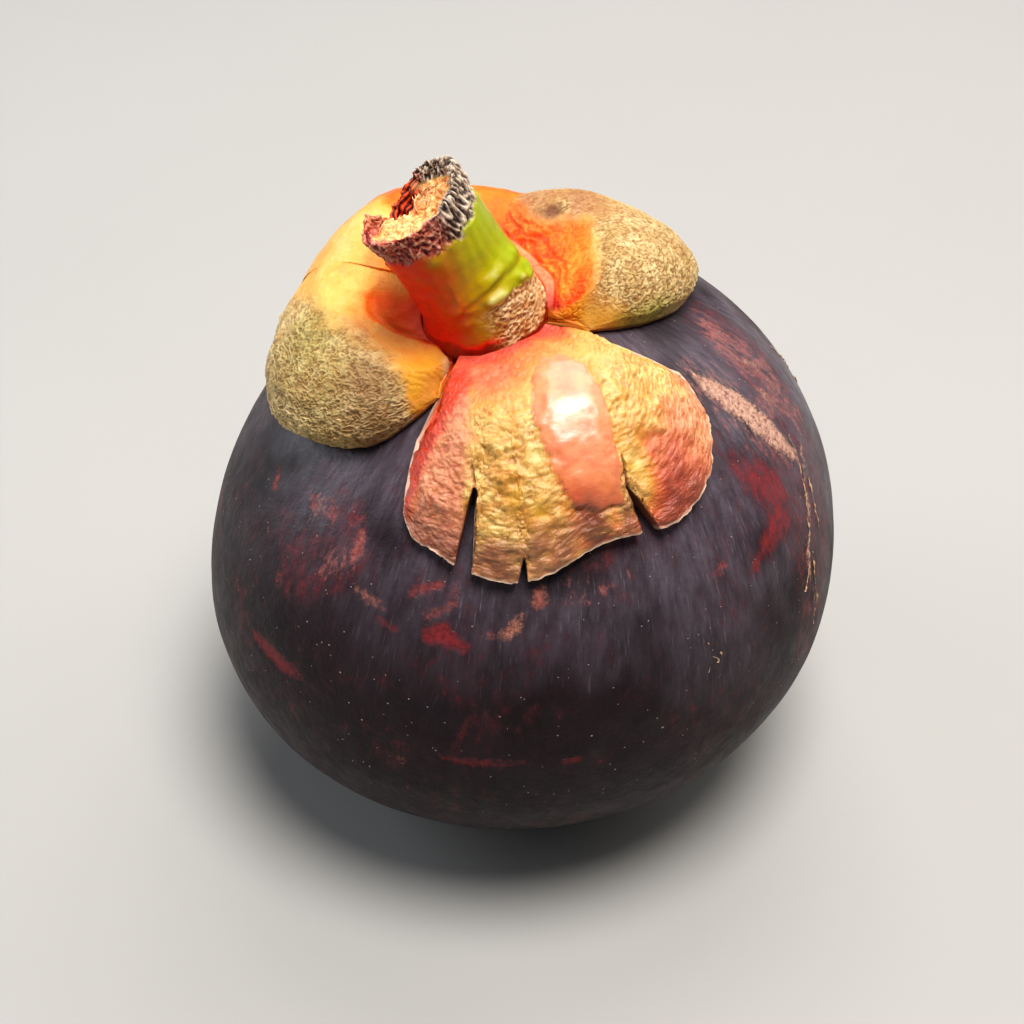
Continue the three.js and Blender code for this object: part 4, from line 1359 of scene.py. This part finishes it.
def stem_finish():
    """Smooth skin from lime to red, with bark, a dark crust, a pale core and a raw wound; shade is painted at
    the foot, in the valleys of bark and crust and on the core's far side, and light on their crests.
    """
    settings = bpy.context.scene.mangosteen_stem
    skin = Finish("stem_skin")
    names = ("hue", "brown", "crust", "pith", "burnt", "tip", "ember", "wrinkle")
    hue, brown, crust, pith, burnt, tip, ember, wrinkle = (skin.field(name) for name in names)
    red = tuple(settings.red)
    cloud, fine = skin.noise(1.2, 5, 0.6), skin.noise(0.2, 4, 0.7)
    tone = skin.ramp(
        skin.plus(hue, skin.sway(cloud, 0.2)),
        # Hue 0, reached only at the foot, is a darker red: partly the foot's own red, partly painted shade.
        (0.0, (red[0] * 0.25, red[1], 0.001)),
        (0.2, red),
        (0.4, (0.62, 0.10, 0.001)),
        (0.58, (0.46, 0.22, 0.003)),
        (0.78, (0.40, 0.33, 0.003)),
        (1.0, tuple(settings.green)),
    )
    tone = skin.blend(skin.times(tip, 0.7), tone, (0.66, 0.62, 0.22))
    height = skin.plus(wrinkle, skin.sway(fine, 0.8))
    # The bark's crests are painted light, partly as highlights, and its valleys dark as painted shade.
    crests = skin.blend(skin.step(cloud, 0.35, 0.62), (0.50, 0.22, 0.07), (0.80, 0.54, 0.30))
    tone = skin.blend(brown, tone, skin.blend(skin.step(height, -0.1, 0.65), (0.30, 0.10, 0.02), crests))

    # The crust's own dark grey and plum, with crests painted light as highlights and valleys near black as
    # painted shade.
    ash = ((0.02, 0.013, 0.011), (0.13, 0.085, 0.066), (0.48, 0.37, 0.28), (0.82, 0.68, 0.53))
    plum = ((0.07, 0.006, 0.008), (0.40, 0.06, 0.04), (0.60, 0.24, 0.15), (0.80, 0.52, 0.38))
    ash, plum = (skin.ramp(height, *zip((0.1, 0.36, 0.66, 0.95), colours)) for colours in (ash, plum))
    tone = skin.blend(crust, tone, skin.blend(burnt, plum, ash))
    core = skin.ramp(
        skin.noise(0.3, 5, 0.75, 0.8),
        (0.32, (0.62, 0.11, 0.02)),
        (0.44, (0.88, 0.40, 0.13)),
        (0.56, (0.92, 0.56, 0.26)),
        (0.70, (0.95, 0.78, 0.50)),
    )
    # On the far side the core is partly browned tissue and partly painted shade under the rim.
    browned_and_shaded = skin.times(burnt, skin.step(skin.noise(0.8, 4, 0.6), 0.38, 0.6, 0.05, 0.6))
    tone = skin.blend(pith, tone, skin.blend(browned_and_shaded, core, (0.50, 0.15, 0.025)))
    wound = skin.blend(skin.step(height, 0.3, 0.8), (0.07, 0.004, 0.002), (0.66, 0.07, 0.012))
    tone = skin.blend(ember, tone, wound)
    polish = skin.mixed(skin.maths("MAXIMUM", brown, pith), 0.2, 0.65)
    polish = skin.mixed(crust, polish, skin.mixed(burnt, 0.3, 0.58))
    return skin.finish(tone, polish, skin.bump(fine, 0.05), Specular_IOR_Level=0.32)


def arc_between(turn, low, high, soft):
    """1 where a compass angle lies between two others, anticlockwise, with soft ends."""
    middle, half = (low + high) / 2, (high - low) / 2
    off = np.abs((turn - middle + 180) % 360 - 180)
    return 1 - smooth(half - soft, half + soft, off)


def stem_dress(grid, turn, share, sink, out):
    """What the stem's finish reads at each point, and how far its relief lifts the point."""
    settings = bpy.context.scene.mangosteen_stem
    length, radius = settings.length / MM, settings.radius / MM
    wobble = rough(grid, 2.0, 4, 51)
    angle = np.radians(turn)
    round_it = angle * radius
    from_front = (turn - STEM_FRONT + 180) % 360 - 180
    over = np.where(sink > 0.02, 1.0, 0.0)
    torn, burnt = arc_between(turn, 88, 158, 14), arc_between(turn, -58, 92, 14)

    edge = 0.875 + 0.03 * wobble - 0.04 * burnt + 0.08 * torn
    stub = bell(turn - 188, 22)
    pith = smooth(0.93, 0.86, out + 0.09 * wobble + 0.10 * burnt - 0.04 * torn + 0.3 * stub) * over
    crust = smooth(edge - 0.01, edge + 0.01, share) * (1 - pith)
    slit = torn * smooth(0.84, 0.88, share) * smooth(0.66, 0.74, out + 0.06 * wobble)
    lip = 0.9 * bell(out - 0.93, 0.03) * over * arc_between(turn, 190, 300, 20)
    ember = np.clip(slit + lip, 0, 1)

    across = share * length + (1.06 - out) * radius * over + sink
    wound = np.stack([radius * np.cos(angle), radius * np.sin(angle), across * 0.45], -1)
    crumple = 0.55 * ridges(grid, 0.7, 53) + 0.45 * maze(grid, 0.42, 54)
    shell = mix(crumple, 0.6 * ridges(wound, 0.42, 52) + 0.4 * maze(wound, 0.3, 50), mix(0.25, 1, burnt))
    below = (share - from_table(STEM_FOLD, from_front)) * length
    creased = 0.5 * ridges(grid * (1, 1, 1.3), 0.6, 58) + 0.35 * maze(grid, 0.36, 48)
    creased += 0.15 * waves(below + 0.35 * round_it, grid, 0.75, 57)
    wrinkle = np.where(crust > 0.5, shell, creased)
    wrinkle = np.where(ember > 0.5, waves(across, grid, 0.6, 49), wrinkle)

    front = arc_between(turn, 258, 368, 12)
    collar = from_table(STEM_COLLAR, from_front)
    fold = bell(below, 0.7) * front * (0.15 + 0.85 * smooth(-0.45, 0.4, grain(grid, 1.4, 55)))
    second = bell(below - collar, 0.6) * front * (0.3 + 0.7 * smooth(-0.4, 0.4, grain(grid, 1.4, 56)))
    raised = fold + 0.65 * second
    groove = bell(below - 0.5 * collar, 0.3) * front
    tip = smooth(0.45, 1.0, raised + 0.3 * grain(grid, 0.7, 59)) * smooth(60, 20, from_front)
    bud = bell(np.linalg.norm(grid - STEM_BUD, axis=-1), 0.75)

    hue = from_table(STEM_HUES, turn) + 0.05 * wobble
    hue += front * (0.10 * smooth(0.5, 0.3, share) - 0.10 * smooth(0.6, 0.8, share)) * smooth(300, 270, turn)
    hue = hue - 0.42 * smooth(0.27, 0.14, share + 0.03 * wobble) + 0.2 * bud - 0.05 * groove
    # Down at the foot the hue falls to 0, a darker red: partly its own red, partly painted shade where the
    # stem stands between the sepals.
    hue = np.clip(hue, 0.06, 1) * smooth(0.07, 0.16, share - 0.06 * front + 0.03 * wobble)
    knob = stub * smooth(0.85, 0.89, share + 0.03 * wobble) * (1 - pith)
    crust, ember = crust * (1 - 0.45 * knob), ember * (1 - knob)
    brown = arc_between(turn, 286, 372, 14) * smooth(0.075, 0.11, share + 0.03 * wobble)
    brown = brown * smooth(-0.35, -0.75, below + 0.5 * wobble)

    lift = 0.5 * raised - 0.12 * groove + 0.32 * smooth(0.6, -0.4, below - collar) * front + 0.35 * bud
    strands = waves(round_it, grid * (1, 1, 0.4), 1.7, 60) * smooth(0.5, 0.6, share)
    lift += (1 - crust) * (0.08 * wobble + 0.05 * strands)
    lift += brown * (0.05 + 0.28 * (wrinkle - 0.6))
    lift += knob * (0.15 + 0.4 * grain(grid, 1.0, 47) + 0.3 * (shell - 0.8))
    lift += 0.4 * bell(turn - 222, 38) * smooth(0.4, 0.1, share)
    lift += crust * (0.36 * rough(grid, 1.5, 2, 61) - 0.06 + mix(0.34, 0.36, burnt) * (shell - 0.85))
    lift += pith * 0.5 * rough(grid, 0.8, 4, 62) + ember * 0.25 * (wrinkle - 0.8) * (1 - pith)
    fields = {"hue": hue, "brown": np.clip(brown + 0.9 * knob, 0, 1), "crust": crust, "pith": pith}
    fields |= {"burnt": burnt, "tip": tip, "ember": ember, "wrinkle": wrinkle}
    return fields, lift * smooth(-0.05, 0.06, share)


def fibre_tree(material):
    """Geometry Nodes: bent fibres that stand in the torn part of the stem."""
    sizes = {"Density": 3000000.0, "Length": 0.0015, "Thickness": 0.00005, "Seed": 11}
    tree = GrowthTree("stem_fibres", sizes)
    torn = tree.add("GeometryNodeInputNamedAttribute", {"Name": "pith"}, data_type="FLOAT").outputs[0]
    half = tree.times(tree.inputs["Length"], 0.5)
    low = tree.times(half, -0.3)
    left = tree.add("ShaderNodeCombineXYZ", {0: tree.times(half, -1.0), 2: low}).outputs[0]
    top = tree.add("ShaderNodeCombineXYZ", {1: tree.times(half, 0.5), 2: tree.times(half, 0.9)}).outputs[0]
    right = tree.add("ShaderNodeCombineXYZ", {0: half, 2: low}).outputs[0]
    sockets = {"Resolution": 7, "Start": left, "Middle": top, "End": right}
    bow = tree.add("GeometryNodeCurveQuadraticBezier", sockets).outputs[0]
    turned = tree.random((-0.5, -0.5, 0.0), (0.5, 0.5, 6.28))
    twist = tree.add("FunctionNodeEulerToRotation", {0: turned}).outputs[0]
    strewn = tree.strew(tree.above(torn, 0.6), tree.thread(bow, 4), tree.random(0.4, 1.2), twist)
    return tree.end(strewn, material)


def fibre_straw():
    """The finish of the torn fibres."""
    straw = Finish("fibre_straw")
    grainy = straw.noise(0.5, 3, 0.6)
    tone = straw.ramp(grainy, (0.35, (0.74, 0.28, 0.09)), (0.65, (0.90, 0.66, 0.38)))
    return straw.finish(tone, 0.6, straw.bump(grainy, 0.02))


class MANGOSTEEN_OT_stem(bpy.types.Operator):
    """Make the cut stem with its dark crust and the torn fibres in the break"""

    bl_idname = "mangosteen.stem"
    bl_label = "Stem"

    def execute(self, context):
        settings = context.scene.mangosteen_stem
        grid, *places = stem_grid(235, 360)
        fields, lift = stem_dress(grid, *places)
        grid = grid - grid_normals(grid, wrap=True) * lift[..., None]
        piece = tube_piece("stem", grid, fields, stem_finish())
        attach(piece, "root")
        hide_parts("stem")

        broken = sum(face.area for face in piece.data.polygons if face.center.z > BREAK_HEIGHT * MM)
        sizes = {"Density": settings.fibres / (broken * TORN_SHARE)}
        fibres = grown("stem_fibres", fibre_tree(fibre_straw()), sizes, piece.data)
        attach(fibres, "root")
        return {"FINISHED"}


# ---------------------------------------------------------------- the stigma rosette
# The height of the rosette's middle.
ROSETTE_HEIGHT = 0.75


def rosette_tree(material):
    """Geometry Nodes: a low disc whose edge swells into one blunt lobe for each segment of the fruit."""
    sizes = {"Lobes": 6, "Radius": 0.006, "Thickness": 0.0008, "Notch": 0.38, "Middle": (0.0, 0.0, 0.00075)}
    tree = GrowthTree("stigma_rosette", sizes)
    ball = tree.add("GeometryNodeMeshUVSphere", {"Segments": 180, "Rings": 28, "Radius": 1.0}).outputs[0]
    x, y, z = tree.add("ShaderNodeSeparateXYZ", {0: tree.position()}).outputs
    turn = tree.times(tree.maths("ARCTAN2", y, x), tree.times(tree.inputs["Lobes"], 0.5))
    beat = tree.maths("SQRT", tree.maths("ABSOLUTE", tree.maths("COSINE", turn)))
    lobe = tree.less(1.0, tree.times(tree.inputs["Notch"], tree.less(1.0, beat)))
    reach = tree.times(tree.inputs["Radius"], lobe)
    wood = tree.add("ShaderNodeTexNoise", {"Vector": tree.position(), "Scale": 4.0, "Detail": 3.0}).outputs[0]
    thick = tree.times(tree.inputs["Thickness"], tree.plus(0.2, tree.times(wood, 0.6)))
    sockets = {0: tree.times(x, reach), 1: tree.times(y, reach), 2: tree.times(z, thick)}
    shaped = tree.add("ShaderNodeCombineXYZ", sockets).outputs[0]
    moved = tree.vector_maths("ADD", {0: shaped, 1: tree.inputs["Middle"]})
    disc = tree.add("GeometryNodeSetPosition", {"Geometry": ball, "Position": moved}).outputs[0]
    return tree.end(disc, material)


class MANGOSTEEN_OT_rosette(bpy.types.Operator):
    """Make the dry stigma under the fruit: a low woody flower of blunt lobes"""

    bl_idname = "mangosteen.rosette"
    bl_label = "Stigma rosette"

    def execute(self, context):
        settings = context.scene.mangosteen_rosette
        skin = Finish("rosette_wood")
        grainy = skin.noise(0.5, 5, 0.65)
        tone = skin.blend(grainy, tint(settings.wood, 0.5), tint(settings.wood, 1.9))
        material = skin.finish(tone, 0.75, skin.bump(grainy, 0.1))
        middle = tuple(place * MM for place in (*lean_offset(0), ROSETTE_HEIGHT))
        sizes = {"Lobes": settings.lobes, "Radius": settings.radius, "Middle": middle}
        piece = grown("stigma_rosette", rosette_tree(material), sizes)
        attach(piece, "root")
        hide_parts("stigma_rosette")
        return {"FINISHED"}


# ---------------------------------------------------------------- the stage
# Each lamp's place and width in metres, its share of the key light's power and its colour.
LAMPS = {
    "key_light": ((0.06, -0.085, 0.47), 0.23, 0.85, (1.0, 0.97, 0.93)),
    "top_fill": ((0.05, 0.30, 0.42), 0.40, 0.42, (1.0, 0.98, 0.96)),
    "left_fill": ((-0.40, 0.12, 0.17), 0.30, 0.26, (0.88, 0.93, 1.0)),
    "right_fill": ((0.42, 0.20, 0.34), 0.35, 0.18, (1.0, 0.96, 0.92)),
}
# The height in metres on the fruit's axis that every lamp points at.
LAMP_AIM = 0.03
ROOM_LIGHT, ROOM_STRENGTH = (0.85, 0.88, 0.92, 1), 0.14
# Half of the floor's width and the camera's place, in metres, and how far it is tipped up, in degrees.
FLOOR_HALF = 1.5
CAMERA_PLACE = (-0.00079, -0.12929, 0.1423)
CAMERA_TIP, CAMERA_LENS, CAMERA_SENSOR = 48.2, 61.52, 36


def lamp(name, place, width, power, colour):
    """A round soft lamp that points at the fruit."""
    data = bpy.data.lights.new(name, "AREA")
    data.shape, data.size, data.energy, data.color = "DISK", width, power, colour
    light = bpy.data.objects.new(name, data)
    light.location = place
    x, y, z = (-place[0], -place[1], LAMP_AIM - place[2])
    light.rotation_euler = (math.atan2(math.hypot(x, y), -z), 0, math.atan2(x, -y) + math.pi)
    bpy.context.scene.collection.objects.link(light)


class MANGOSTEEN_OT_stage(bpy.types.Operator):
    """Make the pale floor, the soft studio light and the camera"""

    bl_idname = "mangosteen.stage"
    bl_label = "Stage"

    def execute(self, context):
        settings = context.scene.mangosteen_stage
        scene = context.scene
        mesh = bpy.data.meshes.new("floor")
        corners = [(x * FLOOR_HALF, y * FLOOR_HALF, 0) for x, y in ((-1, -1), (1, -1), (1, 1), (-1, 1))]
        mesh.from_pydata(corners, [], [(0, 1, 2, 3)])
        paper = Finish("floor_paper")
        tone = paper.blend(paper.noise(60, 3), tint(settings.floor, 0.97), tint(settings.floor, 1.03))
        mesh.materials.append(paper.finish(tone, 0.9))
        floor = bpy.data.objects.new("floor", mesh)
        scene.collection.objects.link(floor)

        for name, (place, width, share, colour) in LAMPS.items():
            lamp(name, place, width, settings.key * share, colour)
        world = bpy.data.worlds.new("soft_room")
        world.use_nodes = True
        light = world.node_tree.nodes["Background"].inputs
        light["Color"].default_value, light["Strength"].default_value = ROOM_LIGHT, ROOM_STRENGTH
        scene.world = world

        data = bpy.data.cameras.new("camera")
        data.lens, data.sensor_width = CAMERA_LENS, CAMERA_SENSOR
        data.clip_start, data.clip_end = 0.01, 10
        camera = bpy.data.objects.new("camera", data)
        camera.location = CAMERA_PLACE
        camera.rotation_euler = (math.radians(CAMERA_TIP), 0, 0)
        scene.collection.objects.link(camera)
        scene.camera = camera
        scene.view_settings.view_transform = "Standard"
        scene.view_settings.look = "Medium High Contrast"
        return {"FINISHED"}


class MANGOSTEEN_PT_panel(bpy.types.Panel):
    """The parts of the mangosteen and their sizes and colours"""

    bl_idname = "MANGOSTEEN_PT_panel"
    bl_label = "Mangosteen"
    bl_space_type = "VIEW_3D"
    bl_region_type = "UI"
    bl_category = "Mangosteen"

    def draw(self, context):
        for operator, group in STEPS:
            box = self.layout.box()
            box.operator(operator)
            if group:
                settings = getattr(context.scene, group)
                for key in settings.__annotations__:
                    box.prop(settings, key)


STEPS = [
    ("mangosteen.rind", "mangosteen_rind"),
    ("mangosteen.calyx", "mangosteen_calyx"),
    ("mangosteen.stem", "mangosteen_stem"),
    ("mangosteen.rosette", "mangosteen_rosette"),
    ("mangosteen.stage", "mangosteen_stage"),
]
GROUPS = {
    "mangosteen_rind": RindSettings,
    "mangosteen_calyx": CalyxSettings,
    "mangosteen_stem": StemSettings,
    "mangosteen_rosette": RosetteSettings,
    "mangosteen_stage": StageSettings,
}
CLASSES = [
    *GROUPS.values(),
    MANGOSTEEN_OT_rind,
    MANGOSTEEN_OT_calyx,
    MANGOSTEEN_OT_stem,
    MANGOSTEEN_OT_rosette,
    MANGOSTEEN_OT_stage,
    MANGOSTEEN_PT_panel,
]


def register():
    for made in CLASSES:
        bpy.utils.register_class(made)
    for name, group in GROUPS.items():
        setattr(bpy.types.Scene, name, PointerProperty(type=group))


def unregister():
    for name in GROUPS:
        delattr(bpy.types.Scene, name)
    for made in reversed(CLASSES):
        bpy.utils.unregister_class(made)


def main():
    register()
    for operator, _ in STEPS:
        getattr(bpy.ops.mangosteen, operator.split(".")[1])()


if __name__ == "__main__":
    main()
